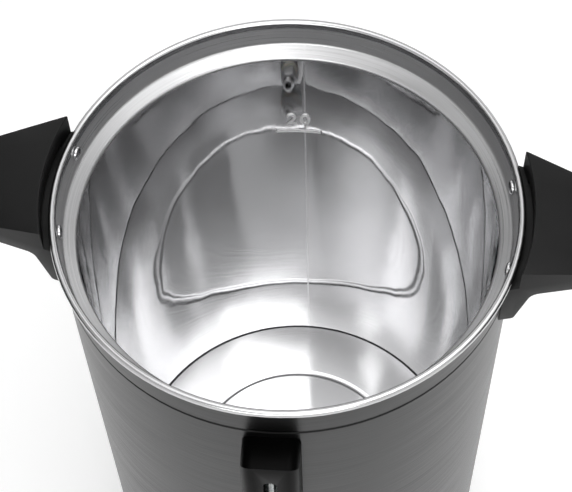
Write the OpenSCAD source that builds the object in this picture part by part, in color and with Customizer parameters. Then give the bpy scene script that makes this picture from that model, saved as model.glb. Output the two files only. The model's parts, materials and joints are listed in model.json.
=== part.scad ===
// Hot water urn: a double-walled steel tank on a moulded base, with two wing handles,
// a water gauge and a self-closing lever tap.
// The front, with the tap, faces -Y. The handles are on X. The table is at z = 0.

/* [Tank] */
// Inside radius of the tank wall
tank_r = 143.4; // [135:0.1:155]
// Depth of the tank, from the middle of the rim bead to the floor
tank_depth = 422; // [380:1:460]
// Thickness of the tank sheet
tank_t = 0.6; // [0.4:0.05:0.8]
// Width of the shoulder between the tank wall and the collar
shoulder_w = 9.3; // [7:0.1:12]
// Height of the shoulder
shoulder_h = 7.2; // [5:0.1:10]
// Bend radius of the shoulder
shoulder_bend = 3.5; // [2:0.1:4]
// Height of the collar between the shoulder and the middle of the bead
collar_h = 18.3; // [16:0.1:24]
// Outward flare of the collar up to the bead
collar_flare = 1.2; // [0:0.1:2]
// Radius of the rolled bead's section
bead_r = 2.55; // [2.2:0.05:3.5]
// Height of the tank floor above the table
floor_z = 112; // [104:1:130]
// Thickness of the tank floor
floor_t = 1.2; // [0.8:0.1:2]
// Height of the floor's turned-down flange
floor_flange = 10; // [6:1:14]
// Distance from the tank wall to the middle of the ring pressed into the floor
floor_ring_in = 49.9; // [45:0.1:53]
// Width of the ring pressed into the floor
floor_ring_w = 5; // [4:0.5:7]
// Depth of the ring pressed into the floor
floor_ring_d = 1.2; // [0.6:0.1:2]
// Depth of the level line below the rim
level_drop = 112.4; // [90:0.1:140]
// Arc of the level line in degrees
level_arc = 14.6; // [8:0.1:30]
// Turn of the level line from the back in degrees
level_turn = 1; // [-5:0.1:5]
// Height of the level line
level_w = 2.4; // [1.5:0.1:4]
// How far the level line stands in from the wall
level_proud = 0.7; // [0.2:0.05:0.8]
// Width of the weld seam
seam_w = 1.4; // [0.8:0.1:3]
// How far the weld seam stands in from the wall
seam_proud = 0.2; // [0.1:0.05:0.4]
// Turn of the weld seam from the back in degrees
seam_turn = -1; // [-5:0.1:5]

/* [Outer shell] */
// Thickness of the shell sheet
shell_t = 0.6; // [0.4:0.05:0.8]
// Depth of the rolled groove's top edge below the rim
groove_drop = 27.6; // [25:0.1:34]
// Height of the rolled groove
groove_h = 3.2; // [2:0.1:5]
// Depth of the rolled groove
groove_d = 1.2; // [0.6:0.1:2]

/* [Handles] */
// Gap between the rim bead and the handle
handle_gap = 4.6; // [4.4:0.1:7]
// Height of the handle's inner edge above the rim
handle_rise = 12; // [6:0.1:14]
// Length of the handle from its inner edge to its tip
handle_len = 48.2; // [40:0.1:60]
// Arc of the handle's inner edge in degrees
handle_arc = 34.5; // [30:0.1:40]
// Narrowing of each side of the handle in degrees
handle_taper = 14.3; // [5:0.1:20]
// Downward slope of the top in degrees
handle_slope = 16.5; // [10:0.5:20]
// Depth of the flat underside below the rim
handle_under = 16; // [14:0.1:22]
// Turn of the pair of handles from square to the front in degrees
handle_turn = -2.5; // [-5:0.1:5]
// Depth of the bracket's bottom edge below the rim
bracket_drop = 44; // [38:0.1:50]
// Height of the slot that locks the lid
lid_slot_h = 5; // [4.5:0.1:6]
// Depth of the slot that locks the lid
lid_slot_d = 7; // [5:0.1:9]
// Angle between the two screws of a handle
handle_screw_arc = 24.6; // [22:0.1:28]
// Depth of the handle screws below the rim
handle_screw_drop = 8.9; // [8:0.1:11]
// Radius of the handle screws
handle_screw_r = 2; // [1.5:0.1:2.2]
// Radius of the handle screws' heads
handle_head_r = 4.8; // [4:0.1:5]
// Length of the handle screws under the head
handle_screw_len = 15; // [12:0.5:17]

/* [Water gauge] */
// Width of the gauge housing
gauge_w = 38; // [34:0.5:42]
// How far the gauge housing stands out from the shell
gauge_d = 22; // [22:0.5:28]
// Depth of the gauge housing's top below the rim
gauge_drop = 36.6; // [35:0.1:45]
// Width of the channel that holds the sight tube
gauge_channel = 18; // [17:0.1:20]
// Width of the gauge's window
gauge_window = 9; // [6:0.1:11]
// Outside radius of the sight tube
tube_r = 6; // [5:0.1:7]
// Wall of the sight tube
tube_t = 1.5; // [1:0.1:2]
// Distance from the shell to the sight tube's axis
tube_off = 11.5; // [11.2:0.1:11.7]

/* [Tap] */
// Height of the tap's axis above the tank floor
tap_rise = 22; // [20:0.5:30]
// Distance from the shell to the tap's barrel
tap_reach = 46; // [40:0.5:60]
// Radius of the tap's shank
shank_r = 10; // [9:0.1:11]
// Radius of the waterway
waterway_r = 6; // [5:0.1:6.5]
// Radius of the tap's flange and the gasket under it
flange_r = 17; // [15:0.1:18]
// Outside radius of the barrel
barrel_r = 16; // [15:0.1:20]
// Wall of the barrel
barrel_t = 4.5; // [3:0.1:5]
// Length of the spout below the barrel
spout_len = 14; // [8:0.5:20]
// Radius of the stem
stem_r = 3; // [2.5:0.1:3.5]
// Length of the lever above its pin
lever_len = 58; // [45:1:75]
// Width of the lever's paddle
paddle_w = 22; // [18:0.5:28]
// Half depth of the lever's heel
heel_d = 7; // [6:0.1:8]

/* [Base] */
// Height of the base's top above the table
base_h = 70; // [66:1:80]
// How far the base stands out from the shell
base_lip = 2; // [1:0.1:4]
// Wall of the base
base_wall = 3; // [2:0.1:4]
// Height of the rubber foot below the base
foot_h = 6; // [5:0.1:8]
// Width of the rubber foot
foot_w = 6; // [5:0.1:7]
// Thickness of the bottom plate
plate_t = 2; // [1.5:0.1:3]
// Distance from the base's outside to the bottom plate
plate_inset = 17.2; // [15.2:0.1:23.2]
// Radius of the circle of tie studs
stud_circle = 118; // [110:0.5:122]
// Radius of the tie studs
stud_r = 3; // [2:0.1:4]
// How far the control panel and the inlet panel stand out from the base
panel_proud = 4; // [3:0.1:6]
// Width of the control panel's boss
panel_w = 112; // [110:1:124]
// Width of the inlet panel's boss
inlet_panel_w = 68; // [64:1:80]

/* [Controls] */
// Width of the control fascia
fascia_w = 100; // [98:0.5:104]
// Height of the control fascia
fascia_h = 46; // [44:0.5:50]
// Thickness of the control fascia
fascia_t = 2.5; // [2:0.1:3]
// Radius of the dial knob
dial_r = 17; // [15:0.1:18]
// Depth of the dial knob
dial_d = 17; // [16:0.1:22]
// Radius of the thermostat spindle
spindle_r = 3; // [2.5:0.1:3.2]
// Distance from the dial to the rocker switch
rocker_x = 33; // [31:0.1:35]
// Distance from the dial to the heating lamp
heating_lamp_x = 24; // [23:0.1:25]
// Distance from the dial to the ready lamp
ready_lamp_x = 37; // [35:0.1:38]
// Radius of the indicator lamps' bodies
lamp_r = 4; // [3:0.1:4.5]
// Rest angle of the rocker in degrees
rocker_tilt = 8; // [5:0.5:9]

/* [Heating] */
// Gap between the heat spreader and the ring pressed into the floor
spreader_gap = 7; // [5:0.5:11]
// Thickness of the heat spreader
spreader_t = 3; // [2:0.1:5]
// Mean radius of the heating element's ring
element_r = 60; // [50:0.5:66]
// Radius of the heating element's tube
element_tube_r = 4.2; // [3:0.1:5]
// Radius of the reset button
reset_r = 4; // [3:0.1:4.5]
// Travel of the reset button
reset_travel = 3; // [2:0.1:4]

/* [Mains inlet] */
// Width of the inlet's flange
inlet_w = 50; // [50:0.5:56]
// Height of the inlet's flange
inlet_h = 24; // [23:0.5:28]
// Width of the inlet's socket
socket_w = 24; // [24:0.1:25]
// Height of the inlet's socket
socket_h = 16; // [16:0.1:17]
// Depth of the inlet's socket
socket_d = 16; // [15:0.1:18]

/* [Fits] */
// Clearance between pieces that are fastened together
fit = 0.1; // [0.05:0.01:0.2]
// Radial clearance of a shaft that turns or slides
running = 0.05; // [0.02:0.01:0.08]
// Clearance between moving pieces that must not touch
clear = 0.3; // [0.25:0.05:0.6]

/* [Hidden] */
$fn = 64;
eps = 0.01;
over = 1;

// Tank and shell
rim_z = floor_z + tank_depth;
collar_r = tank_r + shoulder_w;
rim_r = collar_r + collar_flare;
bead_c = rim_r + bead_r;
bead_out = bead_c + bead_r;
shoulder_top = rim_z - collar_h;
shoulder_low = shoulder_top - shoulder_h;
skirt_z = floor_z - floor_flange;
floor_under = floor_z - floor_t;
floor_bend_in = 0.5;
floor_bend = floor_t + floor_bend_in;
floor_ring_r = tank_r - floor_ring_in;
shell_in = rim_r + tank_t + fit;
shell_r = shell_in + shell_t;
shell_top = rim_z - bead_r / 2;
groove_z = rim_z - groove_drop;
groove_edge = 0.4;
lip_angle = acos((bead_c - shell_r - fit) / bead_r);
level_z = rim_z - level_drop;

// Handles
handle_in = bead_out + handle_gap;
handle_tip = handle_in + handle_len;
handle_half = handle_arc / 2;
handle_screw_z = rim_z - handle_screw_drop;
handle_head_h = 2.2;
handle_cross = 0.9;
screw_cover = 0.7;
handle_floor = handle_screw_drop - handle_screw_r - screw_cover;
head_seat = collar_r + collar_flare * (collar_h - handle_screw_drop - handle_head_r) / collar_h;
handle_head_in = sqrt(head_seat * head_seat - handle_head_r * handle_head_r) - fit;
screw_hole_gap = 0.2;
slot_wall = 5;
gusset_out = 8;

// Water gauge
gauge_top = rim_z - gauge_drop;
gauge_front = shell_r + gauge_d;
gauge_roof = 4;
gauge_face = 2.5;
gauge_cut = 3;
gauge_foot_round = 3;
gauge_top_round = 8;
gauge_edge_round = 7;
tube_y = -(shell_r + tube_off);
gauge_cap_t = 1.8;
gauge_cap_h = 10;
gauge_vent_r = 1;
gauge_screw_r = 1.5;
gauge_screw_len = 9;
gauge_head_r = 2.8;
gauge_head_h = 2;
gauge_screw_x = (gauge_w + gauge_channel) / 4;
gauge_screw_inset = 22;

// Tap
tap_z = floor_z + tap_rise;
tap_y = -(shell_r + tap_reach);
gasket_t = 3;
flange_t = 5;
shank_inside = 15;
nut_t = 8;
nut_flats = 26;
nut_corner_r = nut_flats / 2 / cos(30);
nut_gasket_edge = 1;
nut_gasket_r = nut_corner_r + nut_gasket_edge;
barrel_up = 16;
barrel_down = 20;
barrel_bore = barrel_r - barrel_t;
seat_drop = 12;
seat_z = tap_z - seat_drop;
seat_r = 7;
spout_t = 2.5;
spout_r = seat_r + spout_t;
spout_z = tap_z - barrel_down - spout_len;
cup_gap = 2;
cup_r = barrel_bore - cup_gap;
cup_h = 10;
cup_floor = 4;
spacer_w = 4;
bonnet_z = tap_z + barrel_up;
bonnet_flange = 6;
bonnet_plug = 6;
bonnet_top = bonnet_z + bonnet_flange;
pin_r = 1.5;
pin_up = 8;
pin_z = bonnet_top + pin_up;
fork_in = stem_r + clear;
fork_w = 16;
socket_r = tube_off - gasket_t - fit;
gauge_socket_up = 22;
gauge_socket_seat = 12;
gauge_seal_h = 5;
gauge_seal_w = 1.2;
tube_bottom = tap_z + gauge_socket_seat;
tube_top = gauge_top - gauge_roof - gauge_cap_t;
gauge_bottom = tap_z + gauge_socket_up + clear;
window_sill = 16;
window_head = 26;
window_low = gauge_bottom + window_sill;
window_high = gauge_top - window_head;
tap_wire = 0.6;
tap_coil_r = 6.4;
tap_turns = 4;
fork_up = 7;
neck_z = 17;
neck_w = 5;
neck_d = 4.5;
paddle_front = 9;
paddle_back = 1;
fork_eye = 2;

// Base
base_r = shell_r + base_lip;
panel_y = base_r + panel_proud;
plate_r = base_r - plate_inset;
ledge_t = 3;
rim_h = 7;
plate_up = 2;
plate_z = foot_h + plate_up;
plate_top = plate_z + plate_t;
plate_ledge = 7;
spigot_h = 8;
spigot_in = shell_in - fit - base_wall;
foot_r = (plate_r + base_r) / 2;
foot_sink = 2.5;
panel_wall = 5;
panel_z = (foot_h + base_h) / 2;
nut_h = 4;
nut_wall = 2.7;
nut_r = stud_r + nut_wall;
stud_end = 1;
stud_low = plate_z - nut_h - stud_end;

// Controls
fascia_back = panel_y - fascia_t;
fascia_round = 4;
border_x = 8;
border_z = 5;
fascia_screw_r = 1.4;
fascia_head_r = 2.5;
fascia_head_h = 1.2;
fascia_screw_x = fascia_w / 2 - border_x / 2;
fascia_screw_z = fascia_h / 2 - border_z;
bush_t = 2;
bush_r = spindle_r + bush_t;
bush_out = 4;
dial_nut_t = 2.5;
dial_nut_wall = 3;
dial_nut_r = bush_r + dial_nut_wall;
dial_gap = 0.5;
dial_back = panel_y + dial_gap;
dial_front = dial_back + dial_d;
dial_cavity = 6.5;
dial_room = 1;
dial_cavity_r = dial_nut_r + dial_room;
dial_roof = 2;
grip_half = 6;
skirt_h = 6.8;
skirt_in = 1.7;
skirt_bevel = 1.5;
grip_in = 0.6;
thermo_w = 34;
thermo_h = 30;
thermo_d = 18;
thermo_end = -fascia_back + thermo_d + fit;
rocker_frame = [15, 21];
rocker_body = [12.8, 19.2];
rocker_slot = [10, 16.8];
rocker_flange = 1.5;
rocker_depth = 13;
rocker_pin_r = 1.2;
rocker_sink = 0.5;
rocker_y = panel_y - rocker_sink;
rocker_back = 2;
rocker_ear = 0.4;
rocker_crown = 2.6;
rocker_dish = 0.9;
rocker_skirt = 0.6;
rocker_keel = 4.5;
rocker_keel_w = 2;
rocker_gap = 0.7;
lamp_flange = 1.5;
lamp_lip = 1.5;
lamp_dome = 1.2;
lamp_crown = 0.6;
lamp_lip_round = 0.5;
lamp_dome_round = 1.5;
lamp_len = 12;

// Heating
spreader_r = floor_ring_r - floor_ring_w / 2 - spreader_gap;
spreader_under = floor_under - spreader_t;
element_flat = 0.8;
element_z = spreader_under - element_tube_r + element_flat;
element_gap = 30;
element_leg = 20;
element_step = 0.4;
element_pin_r = 1.2;
element_pin = 8;
element_end = [for (s = [-1, 1]) element_r * [cos(90 + s * element_gap / 2), sin(90 + s * element_gap / 2)]];
element_low = element_z - element_leg - element_pin;
cutout_r = 8;
cutout_h = 12;
cutout_pin = 3;
cutout_pin_r = 2.4;
cutout_wing = 14;
cutout_plate_t = 1.5;
cutout_plate_w = 8;
cutout_screw_r = 1.5;
cutout_head_r = 2.6;
cutout_head_h = 1.8;
cutout_blade = [6, 6.5, 0.8];
cutout_blade_drop = 7;
cutout_low = spreader_under - cutout_h - cutout_pin;
reset_top = cutout_low - reset_travel - clear;
reset_proud = 1.5;
reset_low = plate_z - reset_proud;
reset_collar_h = 2;
guide_h = 24;
guide_t = 2;
reset_wire = 0.5;
reset_coil_gap = 0.8;
reset_coil_r = reset_r + reset_coil_gap + reset_wire;
reset_turns = 6;
guide_in = reset_coil_r + reset_wire + reset_coil_gap / 2;
bulb_r = 3;
bulb_len = 60;
bulb_y = -72;
bulb_z = spreader_under - bulb_r - running;

// Mains inlet
inlet_t = 2.5;
inlet_wall = 1.75;
inlet_floor = 2;
inlet_round = 4;
inlet_cut = 5;
inlet_body = [socket_w + 2 * inlet_wall, socket_h + 2 * inlet_wall];
inlet_screw_r = 1.5;
inlet_head_r = 2.7;
inlet_head_h = 1.5;
inlet_screw_x = (inlet_w + inlet_body.x) / 4;
pin_tail = 10;
pins_end = panel_y + inlet_t - socket_d - pin_tail;
pin_blade = [2, 4];
pin_spread = 7;
pin_low = -2.5;
pin_high = 3;

// Wiring
capillary_r = 1;
wire_r = 1.3;
block_w = 40;
block_h = 14;
block_d = 18;
block_y = 62;
block_bore_r = 2;
block_screw_r = 2.5;
block_screw_h = 4;
block_ways = [for (i = [-1:1]) i * block_w / 3];
block_z = plate_top + block_h / 2;
wire_depth = 4;
earth_inset = 37.4;
earth_x = tank_r - earth_inset;
earth_w = 10;
earth_t = 1;
earth_drop = 12;

// Points and outlines

function unit(v) = v / norm(v);

// The arc that rounds the corner b between a and c
function fillet(a, b, c, r, n = 8) =
    r <= 0 ? [b] :
    let (u = unit(a - b), w = unit(c - b), half = acos(u * w) / 2)
    let (o = b + unit(u + w) * r / sin(half), s = b + u * r / tan(half), e = b + w * r / tan(half))
    let (a0 = atan2(s.y - o.y, s.x - o.x), a1 = atan2(e.y - o.y, e.x - o.x))
    let (turn = (a1 - a0 + 540) % 360 - 180)
    [for (i = [0:n]) o + r * [cos(a0 + turn * i / n), sin(a0 + turn * i / n)]];

function round_loop(p, r) = let (n = len(p))
    [for (i = [0:n - 1]) each fillet(p[(i + n - 1) % n], p[i], p[(i + 1) % n], r[i])];

function round_path(p, r) = let (n = len(p))
    [p[0], for (i = [1:n - 2]) each fillet(p[i - 1], p[i], p[i + 1], r[i]), p[n - 1]];

function right_of(d) = [d.y, -d.x];

// The path moved by t to its right, with mitred corners
function shifted(p, t) = let (n = len(p))
    [for (i = [0:n - 1])
        let (d0 = unit(p[max(i, 1)] - p[max(i, 1) - 1]), d1 = unit(p[min(i, n - 2) + 1] - p[min(i, n - 2)]))
        let (m = unit(right_of(d0) + right_of(d1)))
        p[i] + m * t / (m * right_of(d0))];

// The section of a sheet whose one face follows the path
function sheet(p, t) = let (q = shifted(p, t))
    concat(p, [for (i = [len(q) - 1:-1:0]) q[i]]);

// The points of a coil's middle line
coil_rings = 8;
function coil_line(r, z0, z1, turns) = let (n = turns * coil_rings)
    [for (i = [0:n]) [r * cos(360 * i / coil_rings), r * sin(360 * i / coil_rings), z0 + (z1 - z0) * i / n]];

// The least gap between turns of a coil
function coil_gap(line, wire) =
    min([for (i = [0:len(line) - 1]) for (j = [i + coil_rings / 2:1:len(line) - 1])
        norm(line[i] - line[j])]) - 2 * wire;

// The route with its corners cut twice over and its ends kept
function eased(p, passes = 2) = passes == 0 ? p :
    let (last = len(p) - 1)
    eased(
        [p[0], for (i = [0:last - 1]) each [(3 * p[i] + p[i + 1]) / 4, (p[i] + 3 * p[i + 1]) / 4], p[last]],
        passes - 1);

function along(line, i) = let (n = len(line))
    unit(line[min(i + 1, n - 1)] - line[max(i - 1, 0)]);

// The part of v that is square to the direction t
function squared(v, t) = unit(v - t * (v * t));

function swept_points(line, r, sides) = let (n = len(line), t0 = along(line, 0))
    [for (i = 0, u = squared(abs(t0.z) > 0.9 ? [1, 0, 0] : [0, 0, 1], t0); i < n;
        i = i + 1, u = i < n ? squared(u, along(line, i)) : u)
        let (w = cross(along(line, i), u))
        for (k = [0:sides - 1]) line[i] + r * (u * cos(360 * k / sides) + w * sin(360 * k / sides))];

// A closed tube along a line of points
module swept(line, r, sides) {
    n = len(line);
    walls = [for (i = [0:n - 2]) for (k = [0:sides - 1])
        let (a = i * sides + k, b = i * sides + (k + 1) % sides)
        each [[a, a + sides, b], [b, a + sides, b + sides]]];
    low = [for (k = [1:sides - 2]) [0, k, k + 1]];
    high = [for (k = [1:sides - 2]) [(n - 1) * sides, (n - 1) * sides + k + 1, (n - 1) * sides + k]];
    polyhedron(swept_points(line, r, sides), concat(walls, low, high));
}

// Shapes that repeat

module along_y(r, y0, y1) {
    translate([0, y0, 0]) rotate([-90, 0, 0]) cylinder(r = r, h = y1 - y0);
}

module along_x(r, x0, x1) {
    translate([x0, 0, 0]) rotate([0, 90, 0]) cylinder(r = r, h = x1 - x0);
}

// Its child's +Z points out from the urn's axis
module outward(az, z) {
    rotate([0, 0, az]) translate([0, 0, z]) rotate([0, 90, 0]) children();
}

module ring(r_out, r_in, z0, z1) {
    translate([0, 0, z0]) difference() {
        cylinder(r = r_out, h = z1 - z0);
        translate([0, 0, -over]) cylinder(r = r_in, h = z1 - z0 + 2 * over);
    }
}

module rounded(w, h, r) {
    square([w - 2 * r, h], center = true);
    square([w, h - 2 * r], center = true);
    for (x = [-1, 1], y = [-1, 1]) translate([x * (w / 2 - r), y * (h / 2 - r)]) circle(r);
}

// A plate that faces the front, with its back face at -y1 and its front face at -y0
module front_plate(w, h, r, x, z, y0, y1) {
    translate([x, -y1, z]) rotate([90, 0, 0]) linear_extrude(y0 - y1) rounded(w, h, r);
}

// A bar that faces the front, from y0 back to y1
module front_bar(r, x, z, y0, y1) {
    translate([x, 0, z]) along_y(r, -y0, -y1);
}

module at_handle_screws() {
    for (side = [0, 180], s = [-1, 1])
        outward(side + handle_turn + s * handle_screw_arc / 2, handle_screw_z) children();
}

module at_gauge_screws() {
    for (s = [-1, 1], z = [gauge_bottom + gauge_screw_inset, gauge_top - gauge_screw_inset])
        outward(-90 + s * asin(gauge_screw_x / shell_r), z) children();
}

module at_studs() {
    for (az = [90, 210, 330]) rotate([0, 0, az]) translate([stud_circle, 0, 0]) children();
}

module at_fascia_screws() {
    for (x = [-1, 1], z = [-1, 1])
        translate([x * fascia_screw_x, 0, panel_z + z * fascia_screw_z]) children();
}

module at_inlet_screws() {
    for (s = [-1, 1]) translate([s * inlet_screw_x, 0, panel_z]) children();
}

// Tank

tank_path = round_path(
    [[tank_r, skirt_z], [tank_r, shoulder_low], [collar_r, shoulder_top], [rim_r, rim_z]],
    [0, shoulder_bend, shoulder_bend, 0]);

module bead_curl() {
    difference() {
        translate([bead_c, rim_z]) circle(bead_r);
        translate([bead_c, rim_z]) circle(bead_r - tank_t);
        polygon([for (a = [0, 2, lip_angle / 2 + 1, lip_angle + 2])
            [bead_c, rim_z] - (a == 0 ? 0 : 2 * bead_r) * [cos(a), sin(a)]]);
    }
}

module inner_tank() {
    color("gainsboro") difference() {
        union() {
            rotate_extrude() {
                polygon(sheet(tank_path, tank_t));
                bead_curl();
            }
            rotate([0, 0, 90 + level_turn - level_arc / 2]) rotate_extrude(angle = level_arc)
                translate([tank_r - level_proud, level_z - level_w / 2])
                square([level_proud + tank_t / 2, level_w]);
            rotate([0, 0, seam_turn]) translate([-seam_w / 2, tank_r - seam_proud, floor_z])
                cube([seam_w, seam_proud + tank_t / 2, shoulder_low - shoulder_bend - floor_z]);
        }
        at_handle_screws() cylinder(r = handle_screw_r + screw_hole_gap, h = shell_r + over);
        translate([0, 0, tap_z]) along_y(shank_r + screw_hole_gap, -shell_r, -tank_r / 2);
    }
}

floor_path = round_path(
    [[0, floor_z], [floor_ring_r - floor_ring_w / 2, floor_z],
        [floor_ring_r - floor_ring_w / 2 + floor_ring_d, floor_z - floor_ring_d],
        [floor_ring_r + floor_ring_w / 2 - floor_ring_d, floor_z - floor_ring_d],
        [floor_ring_r + floor_ring_w / 2, floor_z],
        [tank_r - fit, floor_z], [tank_r - fit, skirt_z]],
    [0, 0, 0, 0, 0, floor_bend, 0]);

module tank_floor() {
    color("gainsboro") rotate_extrude() polygon(sheet(floor_path, floor_t));
}

// Outer shell

shell_path = [
    [shell_in, base_h], [shell_in, groove_z - groove_h], [shell_in - groove_d, groove_z - groove_edge],
    [shell_in, groove_z], [shell_in, shell_top]];

module outer_shell() {
    color("dimgray") difference() {
        rotate_extrude() polygon(sheet(shell_path, shell_t));
        at_handle_screws() cylinder(r = handle_screw_r + screw_hole_gap, h = shell_r + over);
        at_gauge_screws() cylinder(r = gauge_screw_r + screw_hole_gap, h = shell_r + over);
        translate([0, 0, tap_z]) along_y(shank_r + screw_hole_gap, -shell_r - over, -tank_r);
    }
}

// Handles

// Corner radii of the handle's section, from the bracket's foot out to the tip and back to the gap
handle_rounds = [0, 2.5, 6, 3, 5, 0.8, 0, 0];
handle_profile = let (tip_top = handle_rise - handle_len * tan(handle_slope), bracket_in = shell_r + fit)
    round_loop(
        [[bracket_in, -bracket_drop], [handle_in, -bracket_drop],
            [handle_in + gusset_out, -handle_under], [handle_tip, -handle_under], [handle_tip, tip_top],
            [handle_in, handle_rise], [handle_in, -handle_floor], [bracket_in, -handle_floor]],
        handle_rounds);

module handle() {
    end = handle_in * [cos(handle_half), sin(handle_half)];
    far = handle_tip + over;
    near = shell_r * cos(handle_half) - gusset_out;
    slope = tan(handle_taper);
    difference() {
        intersection() {
            translate([0, 0, rim_z]) rotate([0, 0, -handle_arc]) rotate_extrude(angle = 2 * handle_arc)
                polygon(handle_profile);
            translate([0, 0, rim_z - bracket_drop - over])
                linear_extrude(bracket_drop + handle_rise + 2 * over)
                polygon([
                    [near, -end.y - (end.x - near) * slope], [far, -end.y + (far - end.x) * slope],
                    [far, end.y - (far - end.x) * slope], [near, end.y + (end.x - near) * slope]]);
        }
        translate([0, 0, rim_z - handle_floor]) rotate([0, 0, -handle_half + slot_wall])
            rotate_extrude(angle = handle_arc - 2 * slot_wall)
            translate([bead_out, 0]) square([handle_gap + lid_slot_d, lid_slot_h]);
        for (s = [-1, 1]) outward(s * handle_screw_arc / 2, handle_screw_z)
            cylinder(r = handle_screw_r + fit, h = handle_head_in + handle_screw_len + over);
    }
}

module right_handle() {
    color("black") rotate([0, 0, handle_turn]) handle();
}

module left_handle() {
    color("black") rotate([0, 0, 180 + handle_turn]) handle();
}

module handle_screws() {
    color("silver") at_handle_screws() {
        translate([0, 0, handle_head_in - handle_head_h]) difference() {
            cylinder(r = handle_head_r, h = handle_head_h);
            for (a = [0, 90]) rotate([0, 0, a])
                cube([handle_head_r, handle_cross, handle_head_h], center = true);
        }
        translate([0, 0, handle_head_in - eps]) cylinder(r = handle_screw_r, h = handle_screw_len);
    }
}

// Water gauge

gauge_outline = round_loop(
    [[-gauge_w / 2, gauge_bottom], [gauge_w / 2, gauge_bottom],
        [gauge_w / 2, gauge_top], [-gauge_w / 2, gauge_top]],
    [gauge_foot_round, gauge_foot_round, gauge_top_round, gauge_top_round]);

gauge_plan = round_loop(
    [[-gauge_w / 2, 0], [-gauge_w / 2, -gauge_front], [gauge_w / 2, -gauge_front], [gauge_w / 2, 0]],
    [0, gauge_edge_round, gauge_edge_round, 0]);

module gauge_housing() {
    color("black") difference() {
        intersection() {
            translate([0, 0, gauge_bottom]) linear_extrude(gauge_top - gauge_bottom) difference() {
                polygon(gauge_plan);
                circle(shell_r + fit);
            }
            translate([0, -shell_r / 2, 0]) rotate([90, 0, 0]) linear_extrude(gauge_front)
                polygon(gauge_outline);
        }
        translate([-gauge_channel / 2, -gauge_front + gauge_face, gauge_bottom - over])
            cube([gauge_channel, gauge_d - gauge_face + gauge_cut,
                gauge_top - gauge_roof - gauge_bottom + over]);
        translate([-gauge_window / 2, -gauge_front - over, window_low])
            cube([gauge_window, gauge_face + 2 * over, window_high - window_low]);
        for (z = [window_low, window_high]) translate([0, 0, z])
            along_y(gauge_window / 2, -gauge_front - over, -gauge_front + gauge_face + over);
        at_gauge_screws() cylinder(r = gauge_screw_r + fit, h = shell_in + gauge_screw_len + over);
    }
}

module gauge_screws() {
    color("silver") at_gauge_screws() {
        translate([0, 0, shell_in - fit - gauge_head_h]) cylinder(r = gauge_head_r, h = gauge_head_h);
        translate([0, 0, shell_in - fit - eps]) cylinder(r = gauge_screw_r, h = gauge_screw_len);
    }
}

module sight_tube() {
    color("lightcyan") translate([0, tube_y, 0]) ring(tube_r, tube_r - tube_t, tube_bottom, tube_top);
}

module gauge_cap() {
    color("black") translate([0, tube_y, 0]) difference() {
        translate([0, 0, tube_top - gauge_cap_h])
            cylinder(r = tube_r + gauge_cap_t, h = gauge_cap_h + gauge_cap_t);
        translate([0, 0, tube_top - gauge_cap_h - over]) cylinder(r = tube_r + fit, h = gauge_cap_h + over);
        translate([0, 0, tube_top - over]) cylinder(r = gauge_vent_r, h = gauge_cap_t + 2 * over);
    }
}

module gauge_seal() {
    color("dimgray") translate([0, tube_y, 0])
        ring(tube_r + gauge_seal_w, tube_r + running,
            tap_z + gauge_socket_up - gauge_seal_h, tap_z + gauge_socket_up);
}

// Tap

module tap_body() {
    color("silver") difference() {
        union() {
            translate([0, 0, tap_z]) {
                along_y(shank_r, tap_y, -tank_r + shank_inside);
                along_y(flange_r, -shell_r - gasket_t - flange_t, -shell_r - gasket_t);
            }
            translate([0, tube_y, tap_z]) cylinder(r = socket_r, h = gauge_socket_up);
            translate([0, tap_y, tap_z - barrel_down]) cylinder(r = barrel_r, h = barrel_down + barrel_up);
            translate([0, tap_y, spout_z]) cylinder(r = spout_r, h = spout_len + over);
        }
        translate([0, 0, tap_z]) along_y(waterway_r, tap_y, -tank_r + shank_inside + over);
        translate([0, tap_y, seat_z]) cylinder(r = barrel_bore, h = bonnet_z - seat_z + over);
        translate([0, tap_y, spout_z - over]) cylinder(r = seat_r, h = seat_z - spout_z + 2 * over);
        translate([0, tube_y, tap_z]) cylinder(r = tube_r - tube_t, h = gauge_socket_up + over);
        translate([0, tube_y, tube_bottom]) cylinder(r = tube_r + fit, h = gauge_socket_up);
        translate([0, tube_y, tap_z + gauge_socket_up - gauge_seal_h])
            cylinder(r = tube_r + gauge_seal_w + running, h = gauge_seal_h + over);
    }
}

module tap_gaskets() {
    color("ivory") translate([0, 0, tap_z]) {
        difference() {
            along_y(flange_r, -shell_r - gasket_t, -tank_r);
            along_y(shank_r + fit, -shell_r - gasket_t - over, -tank_r + over);
            translate([0, 0, -flange_r - over]) cylinder(r = shell_r + running, h = 2 * (flange_r + over));
        }
        intersection() {
            difference() {
                along_y(nut_gasket_r, -tank_r, -tank_r + gasket_t);
                along_y(shank_r + fit, -tank_r - over, -tank_r + gasket_t + over);
            }
            translate([0, 0, -nut_gasket_r - over])
                cylinder(r = tank_r - running, h = 2 * (nut_gasket_r + over));
        }
    }
}

module tap_spacer() {
    color("dimgray") translate([0, 0, tap_z]) intersection() {
        difference() {
            along_y(shank_r + spacer_w, -shell_r, -tank_r);
            along_y(shank_r + fit, -shell_r - over, -tank_r + over);
            translate([0, 0, -flange_r]) cylinder(r = tank_r + tank_t + fit, h = 2 * flange_r);
        }
        translate([0, 0, -flange_r]) cylinder(r = shell_in - fit, h = 2 * flange_r);
    }
}

module tap_nut() {
    color("silver") translate([0, -tank_r + gasket_t, tap_z]) rotate([-90, 0, 0]) difference() {
        cylinder(r = nut_corner_r, h = nut_t, $fn = 6);
        translate([0, 0, -over]) cylinder(r = shank_r + fit, h = nut_t + 2 * over);
    }
}

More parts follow.
